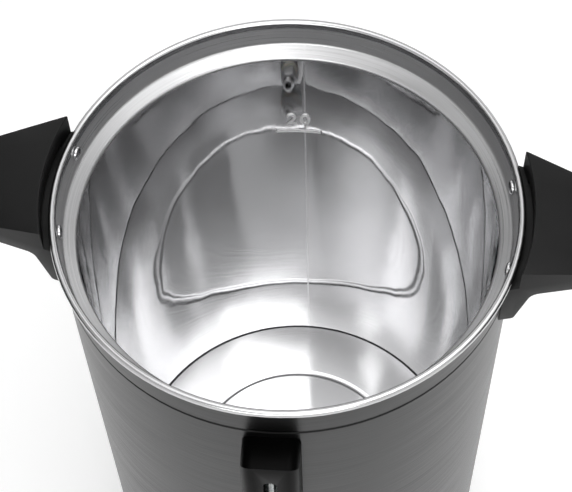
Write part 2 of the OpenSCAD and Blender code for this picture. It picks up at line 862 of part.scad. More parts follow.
module tap_bonnet() {
    color("black") translate([0, tap_y, 0]) difference() {
        union() {
            translate([0, 0, bonnet_z]) cylinder(r = barrel_r, h = bonnet_flange);
            translate([0, 0, bonnet_z - bonnet_plug]) cylinder(r = barrel_bore - fit, h = bonnet_plug + over);
        }
        translate([0, 0, bonnet_z - bonnet_plug - over])
            cylinder(r = stem_r + running, h = bonnet_plug + bonnet_flange + 2 * over);
    }
}

module tap_stem() {
    color("silver") translate([0, tap_y, 0]) difference() {
        translate([0, 0, seat_z + cup_floor]) cylinder(r = stem_r, h = pin_z + stem_r - seat_z - cup_floor);
        translate([0, 0, pin_z]) along_x(pin_r + eps, -2 * stem_r, 2 * stem_r);
    }
}

module tap_seat_cup() {
    color("white") translate([0, tap_y, 0]) difference() {
        translate([0, 0, seat_z + running]) cylinder(r = cup_r, h = cup_h);
        translate([0, 0, seat_z + cup_floor]) cylinder(r = stem_r + eps, h = cup_h);
    }
}

tap_coil = coil_line(tap_coil_r, seat_z + cup_h + 2 * tap_wire,
    bonnet_z - bonnet_plug - tap_wire - clear, tap_turns);

module tap_spring() {
    color("silver") translate([0, tap_y, 0]) swept(tap_coil, tap_wire, 6);
}

// The lever seen from the front: a fork, a neck and a paddle
paddle_half = [
    [fork_w / 2, -pin_up + clear], [fork_w / 2, fork_up], [neck_w, neck_z],
    [neck_w, lever_len - paddle_w], [paddle_w / 2, lever_len - paddle_w / 2], [paddle_w / 2, lever_len]];
paddle_rounds = [1, 3, 12, 10, 6, 8];
paddle_outline = let (last = len(paddle_half) - 1)
    round_loop(
        concat(paddle_half, [for (i = [last:-1:0]) [-paddle_half[i].x, paddle_half[i].y]]),
        concat(paddle_rounds, [for (i = [last:-1:0]) paddle_rounds[i]]));

// The lever seen from the side, from its heel up to the paddle
lever_rounds = [1.5, 1.5, 3, 12, 4, 4, 12, 3];
lever_side = round_loop(
    [[-heel_d, -pin_up + clear], [heel_d, -pin_up + clear], [heel_d, fork_up], [neck_d, neck_z],
        [paddle_back, lever_len], [-paddle_front, lever_len], [-neck_d, neck_z], [-heel_d, fork_up]],
    lever_rounds);

module tap_lever() {
    color("black") translate([0, tap_y, pin_z]) difference() {
        intersection() {
            translate([0, paddle_w, 0]) rotate([90, 0, 0]) linear_extrude(2 * paddle_w)
                polygon(paddle_outline);
            translate([-paddle_w, 0, 0]) rotate([90, 0, 90]) linear_extrude(2 * paddle_w) polygon(lever_side);
        }
        translate([-fork_in, -2 * heel_d, -2 * pin_up]) cube([2 * fork_in, 4 * heel_d, 2 * pin_up]);
        along_x(stem_r + fork_eye, -fork_in, fork_in);
        along_x(pin_r + running, -fork_w, fork_w);
    }
}

module tap_pin() {
    color("silver") translate([0, tap_y, pin_z]) along_x(pin_r, -fork_w / 2, fork_w / 2);
}

// Base

module panel_box(w, inset, z0, z1) {
    translate([-w / 2, 0, z0]) cube([w, panel_y - inset, z1 - z0]);
}

module base_ring() {
    hollow_low = foot_h + rim_h;
    hollow_high = base_h - ledge_t;
    color("black") difference() {
        union() {
            translate([0, 0, foot_h]) cylinder(r = base_r, h = base_h - foot_h);
            translate([0, 0, base_h - over]) cylinder(r = shell_in - fit, h = spigot_h + over);
            panel_box(inlet_panel_w, 0, foot_h, base_h);
            rotate([0, 0, 180]) panel_box(panel_w, 0, foot_h, base_h);
        }
        translate([0, 0, hollow_low]) cylinder(r = base_r - base_wall, h = hollow_high - hollow_low);
        panel_box(inlet_panel_w - 2 * base_wall, panel_wall, hollow_low, hollow_high);
        rotate([0, 0, 180]) panel_box(panel_w - 2 * base_wall, panel_wall, hollow_low, hollow_high);
        translate([0, 0, hollow_high - over]) cylinder(r = spigot_in, h = ledge_t + spigot_h + 2 * over);
        cylinder(r = plate_r - plate_ledge, h = hollow_low + over);
        cylinder(r = plate_r + fit, h = plate_top);
        ring(foot_r + foot_w / 2 + fit, foot_r - foot_w / 2 - fit, foot_h - over, foot_h + foot_sink);
        front_plate(fascia_w + 2 * fit, fascia_h + 2 * fit, fascia_round, 0, panel_z,
            panel_y + over, fascia_back);
        front_plate(fascia_w - 2 * border_x, fascia_h - 2 * border_z, fascia_round, 0, panel_z,
            panel_y, panel_y - 2 * panel_wall);
        at_fascia_screws() along_y(fascia_screw_r + fit, -panel_y, -panel_y + 2 * panel_wall);
        rotate([0, 0, 180])
            front_plate(inlet_body.x + 2 * fit, inlet_body.y + 2 * fit, inlet_wall, 0, panel_z,
            panel_y + over, panel_y - 2 * panel_wall);
        at_inlet_screws() along_y(inlet_screw_r + fit, panel_y - 2 * panel_wall, panel_y + over);
    }
}

module foot_ring() {
    color("dimgray") ring(foot_r + foot_w / 2, foot_r - foot_w / 2, 0, foot_h + foot_sink);
}

module base_plate() {
    color("silver") difference() {
        translate([0, 0, plate_z]) cylinder(r = plate_r, h = plate_t);
        at_studs() cylinder(r = stud_r + fit, h = plate_top + over);
        cylinder(r = reset_r + running, h = plate_top + over);
    }
}

module tie_studs() {
    color("silver") at_studs() translate([0, 0, stud_low]) cylinder(r = stud_r, h = floor_under - stud_low);
}

module tie_nuts() {
    color("silver") at_studs() translate([0, 0, plate_z - nut_h]) difference() {
        cylinder(r = nut_r, h = nut_h, $fn = 6);
        translate([0, 0, -over]) cylinder(r = stud_r + running, h = nut_h + 2 * over);
    }
}

// Controls

module control_fascia() {
    color("darkslategray") difference() {
        front_plate(fascia_w, fascia_h, fascia_round, 0, panel_z, panel_y, fascia_back);
        at_fascia_screws() along_y(fascia_screw_r + fit, -panel_y - over, -fascia_back + over);
        front_bar(bush_r + fit, 0, panel_z, panel_y + over, fascia_back - over);
        for (x = [heating_lamp_x, ready_lamp_x])
            front_bar(lamp_r + fit, -x, panel_z, panel_y + over, fascia_back - over);
        translate([rocker_x, -panel_y, panel_z])
            cube([rocker_body.x + 2 * fit, 4 * fascia_t, rocker_body.y + 2 * fit], center = true);
    }
}

module fascia_screws() {
    color("silver") at_fascia_screws() {
        along_y(fascia_head_r, -panel_y - fascia_head_h, -panel_y);
        along_y(fascia_screw_r, -panel_y - eps, -panel_y + panel_wall);
    }
}

module thermostat() {
    color("ivory") difference() {
        union() {
            translate([-thermo_w / 2, -fascia_back, panel_z - thermo_h / 2])
                cube([thermo_w, thermo_d, thermo_h]);
            front_bar(bush_r, 0, panel_z, panel_y + bush_out, fascia_back - over);
        }
        front_bar(spindle_r + running, 0, panel_z, panel_y + bush_out + over, fascia_back - thermo_d / 2);
    }
}

module thermostat_nut() {
    color("silver") translate([0, -panel_y, panel_z]) rotate([90, 0, 0]) difference() {
        cylinder(r = dial_nut_r, h = dial_nut_t, $fn = 6);
        translate([0, 0, -over]) cylinder(r = bush_r + running, h = dial_nut_t + 2 * over);
    }
}

module thermostat_spindle() {
    color("silver") front_bar(spindle_r, 0, panel_z, dial_front - dial_roof - fit,
        fascia_back - thermo_d / 2 + clear);
}

module dial_knob() {
    skirt_top = skirt_h + skirt_bevel;
    color("black") translate([0, 0, panel_z]) difference() {
        union() {
            translate([0, -dial_back, 0]) rotate([90, 0, 0]) rotate_extrude()
                polygon(round_path(
                    [[0, 0], [dial_r, 0], [dial_r, skirt_h], [dial_r - skirt_in, skirt_top], [0, skirt_top]],
                    [0, 0, 1, 1, 0]));
            intersection() {
                translate([-grip_half, -dial_front, -dial_r]) cube([2 * grip_half, dial_d - eps, 2 * dial_r]);
                along_y(dial_r - grip_in, -dial_front - over, -dial_back);
            }
        }
        along_y(dial_cavity_r, -dial_back - dial_cavity, -dial_back + over);
        along_y(spindle_r + eps, -dial_front + dial_roof, -dial_back);
    }
}

// The capillary runs from the back of the thermostat up to its bulb under the spreader
capillary = [
    [-8, thermo_end, panel_z], [-8, -130, panel_z], [-10, -120, 50], [-18, -110, 72], [-34, -96, 92],
    [-48, -84, 101], [-48, bulb_y, bulb_z], [-38, bulb_y, bulb_z], [-bulb_len / 2 + over, bulb_y, bulb_z]];

module sensor_bulb() {
    color("peru") {
        translate([0, bulb_y, bulb_z]) along_x(bulb_r, -bulb_len / 2, bulb_len / 2);
        swept(eased(capillary), capillary_r, 6);
    }
}

module rocker_housing() {
    color("black") translate([rocker_x, 0, panel_z]) difference() {
        union() {
            translate([-rocker_frame.x / 2, -panel_y - rocker_flange, -rocker_frame.y / 2])
                cube([rocker_frame.x, rocker_flange, rocker_frame.y]);
            translate([-rocker_body.x / 2, -panel_y - eps, -rocker_body.y / 2])
                cube([rocker_body.x, rocker_depth, rocker_body.y]);
        }
        translate([-rocker_slot.x / 2, -panel_y - rocker_flange - over, -rocker_slot.y / 2])
            cube([rocker_slot.x, rocker_depth + rocker_flange - rocker_back, rocker_slot.y]);
        translate([0, -rocker_y, 0])
            along_x(rocker_pin_r + running, -rocker_body.x / 2 + rocker_ear, rocker_body.x / 2 - rocker_ear);
    }
}

rocker_rounds = [0.8, 4, 0.8, 0.8, 1, 1, 0.8];
rocker_side = let (h = rocker_slot.y / 2 - rocker_gap)
    round_loop(
        [[-rocker_crown, -h], [-rocker_dish, 0], [-rocker_crown, h], [rocker_skirt, h],
            [rocker_keel, rocker_keel_w], [rocker_keel, -rocker_keel_w], [rocker_skirt, -h]],
        rocker_rounds);

module rocker() {
    color("firebrick") translate([rocker_x, -rocker_y, panel_z]) rotate([rocker_tilt, 0, 0]) {
        translate([-rocker_slot.x / 2 + clear, 0, 0]) rotate([90, 0, 90])
            linear_extrude(rocker_slot.x - 2 * clear) polygon(rocker_side);
        along_x(rocker_pin_r, -rocker_body.x / 2 + rocker_ear + fit, rocker_body.x / 2 - rocker_ear - fit);
    }
}

module lamp(x) {
    translate([-x, 0, panel_z]) {
        translate([0, -panel_y, 0]) rotate([90, 0, 0]) rotate_extrude()
            polygon(round_path(
                [[0, 0], [lamp_r + lamp_lip, 0], [lamp_r + lamp_lip, lamp_flange],
                    [lamp_r, lamp_flange + lamp_dome], [0, lamp_flange + lamp_dome + lamp_crown]],
                [0, 0, lamp_lip_round, lamp_dome_round, 0]));
        along_y(lamp_r, -panel_y - eps, -panel_y + lamp_len);
    }
}

module heating_lamp() {
    color("orange") lamp(heating_lamp_x);
}

module ready_lamp() {
    color("limegreen") lamp(ready_lamp_x);
}

// Mains inlet

module power_inlet() {
    color("black") rotate([0, 0, 180]) difference() {
        union() {
            front_plate(inlet_w, inlet_h, inlet_round, 0, panel_z, panel_y + inlet_t, panel_y);
            front_plate(inlet_body.x, inlet_body.y, inlet_wall, 0, panel_z, panel_y + eps,
                panel_y + inlet_t - socket_d - inlet_floor);
        }
        translate([0, -panel_y - inlet_t + socket_d, panel_z]) rotate([90, 0, 0])
            linear_extrude(socket_d + over)
            polygon([
                [-socket_w / 2, -socket_h / 2], [socket_w / 2, -socket_h / 2],
                [socket_w / 2, socket_h / 2 - inlet_cut], [socket_w / 2 - inlet_cut, socket_h / 2],
                [-socket_w / 2 + inlet_cut, socket_h / 2], [-socket_w / 2, socket_h / 2 - inlet_cut]]);
        at_inlet_screws() along_y(inlet_screw_r + fit, -panel_y - inlet_t - over, -panel_y + over);
        at_inlet_blades(pin_blade + [2 * fit, 2 * fit], panel_y, panel_y - socket_d - over);
    }
}

// Blades that face the front, from y0 back to y1
module at_inlet_blades(size, y0, y1) {
    for (p = [[-pin_spread, pin_low], [pin_spread, pin_low], [0, pin_high]])
        translate([p.x - size.x / 2, -y0, panel_z + p.y - size.y / 2]) cube([size.x, y0 - y1, size.y]);
}

module inlet_pins() {
    color("gold") rotate([0, 0, 180])
        at_inlet_blades(pin_blade, panel_y, pins_end);
}

module inlet_screws() {
    color("silver") at_inlet_screws() {
        along_y(inlet_head_r, panel_y + inlet_t, panel_y + inlet_t + inlet_head_h);
        along_y(inlet_screw_r, panel_y - panel_wall, panel_y + inlet_t + eps);
    }
}

// Heating

module heat_spreader() {
    color("lightgray") difference() {
        translate([0, 0, spreader_under]) cylinder(r = spreader_r, h = spreader_t);
        for (s = [-1, 1]) translate([s * cutout_wing, 0, spreader_under - over])
            cylinder(r = cutout_screw_r + fit, h = spreader_t / 2 + over);
    }
}

module heating_element() {
    color("slategray") {
        rotate([0, 0, 90 + element_gap / 2]) rotate_extrude(angle = 360 - element_gap) intersection() {
            translate([element_r, element_z]) circle(element_tube_r);
            translate([element_r - element_tube_r, element_z - element_tube_r])
                square([2 * element_tube_r, 2 * element_tube_r - element_flat]);
        }
        for (p = element_end) translate(p) {
            translate([0, 0, element_z - element_leg])
                cylinder(r = element_tube_r - element_step, h = element_leg);
            translate([0, 0, element_low]) cylinder(r = element_pin_r, h = element_pin + over);
        }
    }
}

module thermal_cutout() {
    color("ivory") difference() {
        union() {
            translate([0, 0, spreader_under - cutout_h]) cylinder(r = cutout_r, h = cutout_h);
            translate([0, 0, cutout_low]) cylinder(r = cutout_pin_r, h = cutout_pin + over);
            translate([0, 0, spreader_under - cutout_plate_t]) linear_extrude(cutout_plate_t) {
                square([2 * cutout_wing, cutout_plate_w], center = true);
                for (s = [-1, 1]) translate([s * cutout_wing, 0]) circle(cutout_plate_w / 2);
            }
            for (a = [0, 180]) rotate([0, 0, a])
                translate([-cutout_blade.x / 2, cutout_r - over, spreader_under - cutout_blade_drop])
                cube(cutout_blade + [0, over, 0]);
        }
        for (s = [-1, 1]) translate([s * cutout_wing, 0, spreader_under - cutout_plate_t - over])
            cylinder(r = cutout_screw_r + fit, h = cutout_plate_t + 2 * over);
    }
}

module cutout_screws() {
    color("silver") for (s = [-1, 1]) translate([s * cutout_wing, 0, 0]) {
        translate([0, 0, spreader_under - cutout_plate_t - cutout_head_h])
            cylinder(r = cutout_head_r, h = cutout_head_h);
        translate([0, 0, spreader_under - cutout_plate_t - eps])
            cylinder(r = cutout_screw_r, h = cutout_plate_t + spreader_t / 2 - fit);
    }
}

module reset_guide() {
    color("ivory") translate([0, 0, plate_top]) difference() {
        union() {
            cylinder(r = guide_in + guide_t, h = guide_h);
            cylinder(r = guide_in + 3 * guide_t, h = guide_t);
        }
        translate([0, 0, -over]) cylinder(r = guide_in, h = guide_h - guide_t + over);
        cylinder(r = reset_r + running, h = guide_h + over);
    }
}

module reset_button() {
    color("red") {
        translate([0, 0, reset_low]) cylinder(r = reset_r, h = reset_top - reset_low);
        translate([0, 0, plate_top + running]) cylinder(r = guide_in - clear, h = reset_collar_h);
    }
}

reset_coil = coil_line(reset_coil_r, plate_top + reset_collar_h + reset_wire + clear,
    plate_top + guide_h - guide_t - reset_wire - clear, reset_turns);

module reset_spring() {
    color("silver") swept(reset_coil, reset_wire, 6);
}

// Wiring

module terminal_block() {
    color("ivory") difference() {
        translate([-block_w / 2, block_y, plate_top]) cube([block_w, block_d, block_h]);
        for (x = block_ways) {
            translate([x, 0, block_z]) along_y(block_bore_r, block_y - over, block_y + block_d + over);
            translate([x, block_y + block_d / 2, plate_top + block_h - block_screw_h])
                cylinder(r = block_screw_r, h = block_screw_h + over);
        }
    }
}

module earth_tab() {
    color("silver") translate([earth_x - earth_w / 2, -earth_w / 2, floor_under]) {
        translate([0, 0, -earth_t]) cube([earth_w, earth_w, earth_t]);
        translate([0, 0, -earth_drop]) cube([earth_t, earth_w, earth_drop]);
    }
}

block_in = block_y + block_d - wire_depth;
block_out = block_y + wire_depth;
switch_end = -panel_y + rocker_depth + fit;
lamp_end = -panel_y + lamp_len + fit;
blade_end = cutout_r + cutout_blade.y + fit;
blade_z = spreader_under - cutout_blade_drop + cutout_blade.z / 2;
live_pin = [-pin_spread, pins_end - fit, panel_z + pin_low];
neutral_pin = [pin_spread, pins_end - fit, panel_z + pin_low];
earth_pin = [0, pins_end - fit, panel_z + pin_high];

wires = [
    // Inlet to terminal block, live and neutral
    [live_pin, [-7, 126, 35], [-11, 112, 28], [-13, 100, 18], [block_ways[0], 92, block_z],
        [block_ways[0], block_in, block_z]],
    [neutral_pin, [7, 126, 35], [11, 112, 28], [13, 100, 18], [block_ways[2], 92, block_z],
        [block_ways[2], block_in, block_z]],
    // Inlet to the earth tab
    [earth_pin, [0, 130, 41], [12, 126, 46], [44, 110, 58], [78, 74, 72], [100, 30, 80], [102, 4, 84],
        [earth_x - earth_w / 2 + earth_t / 2, 0, 90],
        [earth_x - earth_w / 2 + earth_t / 2, 0, floor_under - earth_drop - fit]],
    // Terminal block to switch, and switch to thermostat
    [[block_ways[0], block_out, block_z], [block_ways[0], 52, block_z], [-28, 30, 14], [-30, -10, 13],
        [-20, -60, 14], [10, -105, 20], [rocker_x, -126, 40], [rocker_x, -136, 43],
        [rocker_x, switch_end, 43]],
    [[rocker_x, switch_end, 33], [rocker_x, -138, 33], [30, -128, 31], [16, -124, 30], [12, -132, 30],
        [12, thermo_end, 30]],
    // Thermostat to cut-out, and cut-out to element
    [[8, thermo_end, 46], [8, -130, 46], [12, -116, 52], [14, -90, 70], [10, -50, 88], [0, -30, blade_z],
        [0, -blade_end, blade_z]],
    [[0, blade_end, blade_z], [0, 26, blade_z], [-4, 38, 90], [-10, 50, 68],
        [element_end[1].x, element_end[1].y, 60],
        [element_end[1].x, element_end[1].y, element_low - fit]],
    // Element back to the terminal block
    [[element_end[0].x, element_end[0].y, element_low - fit], [element_end[0].x, element_end[0].y, 64],
        [16, 48, 46], [14, 42, 26], [block_ways[2], 50, block_z], [block_ways[2], block_out, block_z]],
    // Lamps to thermostat
    [[-heating_lamp_x, lamp_end, panel_z], [-heating_lamp_x, -138, panel_z], [-22, -128, 44], [-14, -126, 48],
        [-12, -132, 48], [-12, thermo_end, 48]],
    [[-ready_lamp_x, lamp_end, panel_z], [-ready_lamp_x, -136, panel_z], [-34, -124, 34], [-18, -120, 29],
        [-12, -130, 28], [-12, thermo_end, 28]]];

module wiring() {
    color("saddlebrown") for (route = wires) swept(eased(route), wire_r, 6);
}

echo(str("Least gap in the tap spring ", coil_gap(tap_coil, tap_wire)));
echo(str("Least gap in the reset spring ", coil_gap(reset_coil, reset_wire)));

inner_tank();
tank_floor();
outer_shell();
left_handle();
right_handle();
handle_screws();
gauge_housing();
gauge_screws();
sight_tube();
gauge_cap();
gauge_seal();
tap_body();
tap_gaskets();
tap_spacer();
tap_nut();
tap_bonnet();
tap_stem();
tap_seat_cup();
tap_spring();
tap_lever();
tap_pin();
base_ring();
foot_ring();
base_plate();
tie_studs();
tie_nuts();
control_fascia();
fascia_screws();
thermostat();
thermostat_nut();
thermostat_spindle();
dial_knob();
sensor_bulb();
rocker_housing();
rocker();
heating_lamp();
ready_lamp();
power_inlet();
inlet_pins();
inlet_screws();
heat_spreader();
heating_element();
thermal_cutout();
cutout_screws();
reset_guide();
reset_button();
reset_spring();
terminal_block();
earth_tab();
wiring();
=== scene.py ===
import json
import math

import bmesh
import bpy
from mathutils import Matrix, Vector
from mathutils.bvhtree import BVHTree

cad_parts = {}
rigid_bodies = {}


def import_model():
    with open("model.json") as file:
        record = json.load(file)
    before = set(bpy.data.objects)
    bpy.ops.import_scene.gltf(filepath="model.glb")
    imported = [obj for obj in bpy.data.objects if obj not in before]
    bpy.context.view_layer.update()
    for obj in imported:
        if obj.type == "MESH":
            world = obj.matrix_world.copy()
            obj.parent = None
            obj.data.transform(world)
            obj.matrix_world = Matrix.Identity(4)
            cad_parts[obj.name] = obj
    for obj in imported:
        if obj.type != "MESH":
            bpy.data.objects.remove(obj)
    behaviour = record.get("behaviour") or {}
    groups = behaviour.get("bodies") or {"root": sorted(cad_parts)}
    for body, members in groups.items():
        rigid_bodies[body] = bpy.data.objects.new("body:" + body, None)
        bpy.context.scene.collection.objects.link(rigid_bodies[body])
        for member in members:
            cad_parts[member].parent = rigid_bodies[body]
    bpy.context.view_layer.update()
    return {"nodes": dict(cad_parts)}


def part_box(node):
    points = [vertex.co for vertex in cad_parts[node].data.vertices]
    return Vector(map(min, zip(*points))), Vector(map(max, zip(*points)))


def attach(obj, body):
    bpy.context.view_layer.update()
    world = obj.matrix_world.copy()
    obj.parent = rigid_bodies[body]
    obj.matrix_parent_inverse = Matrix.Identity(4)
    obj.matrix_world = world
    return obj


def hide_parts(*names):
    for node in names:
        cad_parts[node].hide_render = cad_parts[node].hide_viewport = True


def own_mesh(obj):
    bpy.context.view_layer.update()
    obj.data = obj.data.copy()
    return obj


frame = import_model()
nodes = frame["nodes"]
scene = bpy.context.scene
scene.view_settings.view_transform = "Standard"
scene.cycles.max_bounces = 20
scene.cycles.glossy_bounces = 16  # the tank's walls reflect each other many times


# studio

lookOut = {
    "place": (0.0568, -0.5687, 1.3784),  # metres, in front of the urn and well above the rim
    "turn": (32.434, 1.257, 3.876),  # degrees
    "lens": 96.23, "nearest": 0.05,
}
roomLight = {"seen": 1.0, "diffuse": 0.4}
paleFloor = {
    "reach": 8.0, "colour": (0.9, 0.9, 0.9, 1), "lift": 0.32,
    "hole": 0.12,  # under the urn, so that light from below reaches the base plate
}
panelLook = {"corners": 96, "rough": 0.9, "shine": 0.1}
white = (1, 1, 1, 1)
scrim = {  # a big cloth overhead, lit from behind, that glows most above the urn's right side
    "centre": (0, -0.2), "height": 2.12, "reach": 2.1, "colour": (0.3, 0.3, 0.3, 1),
    "glow": (0.45, -0.05), "spread": (1.9, 1.4), "dim": 0.1, "bright": 3.1,
}
sideCard = {  # dark cards at the left and right, seen only in the metal, which they give dark edges
    "away": 1.6, "back": 0.7, "height": 0.75, "wide": 2.8, "tall": 1.5, "colour": (0.02, 0.02, 0.02, 1),
}
softboxes = {
    "keyBox": {"at": (0.35, -0.72, 2.05), "aim": (0.35, -0.72, 0), "size": (0.9, 0.5), "level": 2.2},
    "backBox": {"at": (-0.4, 0.85, 2.05), "aim": (-0.4, 0.85, 0), "size": (1.8, 0.8), "level": 0.8},
    "smallBox": {"at": (-0.76, -0.55, 2.05), "aim": (-0.76, -0.55, 0), "size": (0.24, 0.3), "level": 1.8},
    "frontBox": {"at": (0.1, -1.9, 1.6), "aim": (0, 0, 0.4), "size": (1.8, 0.8), "level": 3.2},
}


def rising(tree, value, start, end, low=0.0, high=1.0):
    ramp = tree.nodes.new("ShaderNodeMapRange")
    ramp.inputs["From Min"].default_value = start
    ramp.inputs["From Max"].default_value = end
    for name, level in (("To Min", low), ("To Max", high)):
        if isinstance(level, (int, float)):
            ramp.inputs[name].default_value = level
        else:
            tree.links.new(level, ramp.inputs[name])
    tree.links.new(value, ramp.inputs["Value"])
    return ramp.outputs["Result"]


def setCamera():
    camera = bpy.data.objects.new("camera", bpy.data.cameras.new("camera"))
    camera.location = lookOut["place"]
    camera.rotation_euler = [math.radians(turn) for turn in lookOut["turn"]]
    camera.data.lens = lookOut["lens"]
    camera.data.clip_start = lookOut["nearest"]
    scene.collection.objects.link(camera)
    scene.camera = camera


def seenRays(tree):  # 1 where the camera looks at it, straight, by way of metal or through glass
    path = tree.nodes.new("ShaderNodeLightPath")
    found = path.outputs["Is Camera Ray"]
    for ray in ("Is Glossy Ray", "Is Transmission Ray"):
        either = tree.nodes.new("ShaderNodeMath")
        either.operation = "MAXIMUM"
        tree.links.new(found, either.inputs[0])
        tree.links.new(path.outputs[ray], either.inputs[1])
        found = either.outputs[0]
    return found


def setRoom():
    world = bpy.data.worlds.new("studioRoom")
    world.use_nodes = True
    tree = world.node_tree
    sky = tree.nodes["Background"]
    sky.inputs["Color"].default_value = white
    level = rising(tree, seenRays(tree), 0, 1, roomLight["diffuse"], roomLight["seen"])
    tree.links.new(level, sky.inputs["Strength"])
    scene.world = world


def studioPanel(name, reach, colour, hole=0.0):  # a round matt panel that is no part of the urn
    shape = bmesh.new()
    bmesh.ops.create_circle(shape, cap_ends=not hole, segments=panelLook["corners"], radius=reach)
    if hole:
        bmesh.ops.create_circle(shape, segments=panelLook["corners"], radius=hole)
        bmesh.ops.bridge_loops(shape, edges=shape.edges)
        shape.normal_update()
        bmesh.ops.reverse_faces(shape, faces=[face for face in shape.faces if face.normal.z < 0])
    mesh = bpy.data.meshes.new(name)
    shape.to_mesh(mesh)
    shape.free()
    panel = bpy.data.objects.new(name, mesh)
    scene.collection.objects.link(panel)
    finish = bpy.data.materials.new(name)
    finish.use_nodes = True
    skin = finish.node_tree.nodes["Principled BSDF"]
    skin.inputs["Base Color"].default_value = colour
    skin.inputs["Roughness"].default_value = panelLook["rough"]
    skin.inputs["Specular IOR Level"].default_value = panelLook["shine"]
    mesh.materials.append(finish)
    return panel, finish.node_tree, skin


def setScrim():
    panel, tree, skin = studioPanel("studioScrim", scrim["reach"], scrim["colour"])
    panel.location = (*scrim["centre"], scrim["height"])
    panel.visible_camera = False
    spot = tree.nodes.new("ShaderNodeNewGeometry")
    mapping = tree.nodes.new("ShaderNodeMapping")
    mapping.vector_type = "TEXTURE"
    mapping.inputs["Location"].default_value = (*scrim["glow"], scrim["height"])
    mapping.inputs["Scale"].default_value = (*scrim["spread"], 1)
    tree.links.new(spot.outputs["Position"], mapping.inputs["Vector"])
    fade = tree.nodes.new("ShaderNodeTexGradient")
    fade.gradient_type = "SPHERICAL"
    tree.links.new(mapping.outputs["Vector"], fade.inputs["Vector"])
    level = rising(tree, fade.outputs["Fac"], 0, 1, scrim["dim"], scrim["bright"])
    level.node.interpolation_type = "SMOOTHSTEP"
    tree.links.new(level, skin.inputs["Emission Strength"])
    skin.inputs["Emission Color"].default_value = white


def setCard(name, side):
    unitReach = 0.5  # a metre across, so that the scale is the card's size
    panel = studioPanel(name, unitReach, sideCard["colour"])[0]
    panel.location = (side * sideCard["away"], sideCard["back"], sideCard["height"])
    panel.rotation_euler.y = math.pi / 2
    panel.scale = (sideCard["tall"], sideCard["wide"], 1)
    panel.visible_camera = False
    panel.visible_diffuse = False
    panel.visible_shadow = False


def setFloor():
    reach, colour, hole = paleFloor["reach"], paleFloor["colour"], paleFloor["hole"]
    tree, skin = studioPanel("studioFloor", reach, colour, hole)[1:]
    lift = tree.nodes.new("ShaderNodeMath")
    lift.operation = "MULTIPLY"
    lift.inputs[1].default_value = paleFloor["lift"]
    tree.links.new(seenRays(tree), lift.inputs[0])
    tree.links.new(lift.outputs[0], skin.inputs["Emission Strength"])
    skin.inputs["Emission Color"].default_value = white
    under = tree.nodes.new("ShaderNodeNewGeometry")
    oneSided = tree.nodes.new("ShaderNodeMixShader")  # clear from below, so that the underside can be seen
    tree.links.new(under.outputs["Backfacing"], oneSided.inputs["Fac"])
    tree.links.new(skin.outputs["BSDF"], oneSided.inputs[1])
    clear = tree.nodes.new("ShaderNodeBsdfTransparent")
    tree.links.new(clear.outputs["BSDF"], oneSided.inputs[2])
    tree.links.new(oneSided.outputs["Shader"], tree.nodes["Material Output"].inputs["Surface"])


def setSoftbox(name, box):
    lamp = bpy.data.lights.new(name, "AREA")
    lamp.shape = "RECTANGLE"
    lamp.size, lamp.size_y = box["size"]
    lamp.energy = box["level"] * math.pi * lamp.size * lamp.size_y  # brightness of its face times area
    holder = bpy.data.objects.new(name, lamp)
    holder.location = box["at"]
    towards = Vector(box["aim"]) - Vector(box["at"])
    holder.rotation_euler = towards.to_track_quat("-Z", "Y").to_euler()
    holder.visible_camera = False
    scene.collection.objects.link(holder)


setCamera()
setRoom()
setScrim()
setCard("studioCardLeft", -1)
setCard("studioCardRight", 1)
setFloor()
for name, box in softboxes.items():
    setSoftbox(name, box)
print("studio: camera, room, scrim, cards, floor and", len(softboxes), "softboxes")


# finishes

noiseSpan = {"from": 0.3, "to": 0.7}  # most of a noise's values lie between these


def startFinish(name):
    finish = bpy.data.materials.new(name)
    finish.use_nodes = True
    tree = finish.node_tree
    return finish, tree, tree.nodes["Principled BSDF"]


def stretched(tree, stretch):  # frame coordinates, so that a grain runs one way
    spot = tree.nodes.new("ShaderNodeTexCoord")
    mapping = tree.nodes.new("ShaderNodeMapping")
    mapping.inputs["Scale"].default_value = stretch
    tree.links.new(spot.outputs["Object"], mapping.inputs["Vector"])
    return mapping.outputs["Vector"]


def cloud(tree, stretch, detail=4.0):
    noise = tree.nodes.new("ShaderNodeTexNoise")
    noise.inputs["Scale"].default_value = 1.0
    noise.inputs["Detail"].default_value = detail
    tree.links.new(stretched(tree, stretch), noise.inputs["Vector"])
    return noise.outputs["Fac"]


def turned(tree, lines):  # fine rings round the urn's axis, as left by a lathe
    apart = tree.nodes.new("ShaderNodeVectorMath")
    apart.operation = "LENGTH"
    tree.links.new(stretched(tree, (lines, lines, 0)), apart.inputs[0])
    noise = tree.nodes.new("ShaderNodeTexNoise")
    noise.noise_dimensions = "1D"
    noise.inputs["Scale"].default_value = 1.0
    tree.links.new(apart.outputs["Value"], noise.inputs["W"])
    return noise.outputs["Fac"]


def between(tree, value, low, high):  # a noise spread over a range
    spread = tree.nodes.new("ShaderNodeMapRange")
    spread.inputs["From Min"].default_value = noiseSpan["from"]
    spread.inputs["From Max"].default_value = noiseSpan["to"]
    spread.inputs["To Min"].default_value = low
    spread.inputs["To Max"].default_value = high
    tree.links.new(value, spread.inputs["Value"])
    return spread.outputs["Result"]


def tinted(tree, value, dark, light):
    ramp = tree.nodes.new("ShaderNodeValToRGB")
    first, last = ramp.color_ramp.elements
    first.position = noiseSpan["from"]
    first.color = (*dark, 1)
    last.position = noiseSpan["to"]
    last.color = (*light, 1)
    tree.links.new(value, ramp.inputs["Fac"])
    return ramp.outputs["Color"]


def relief(tree, height, depth, under=None):
    bump = tree.nodes.new("ShaderNodeBump")
    bump.inputs["Strength"].default_value = 1.0
    bump.inputs["Distance"].default_value = depth
    tree.links.new(height, bump.inputs["Height"])
    if under is not None:
        tree.links.new(under, bump.inputs["Normal"])
    return bump.outputs["Normal"]


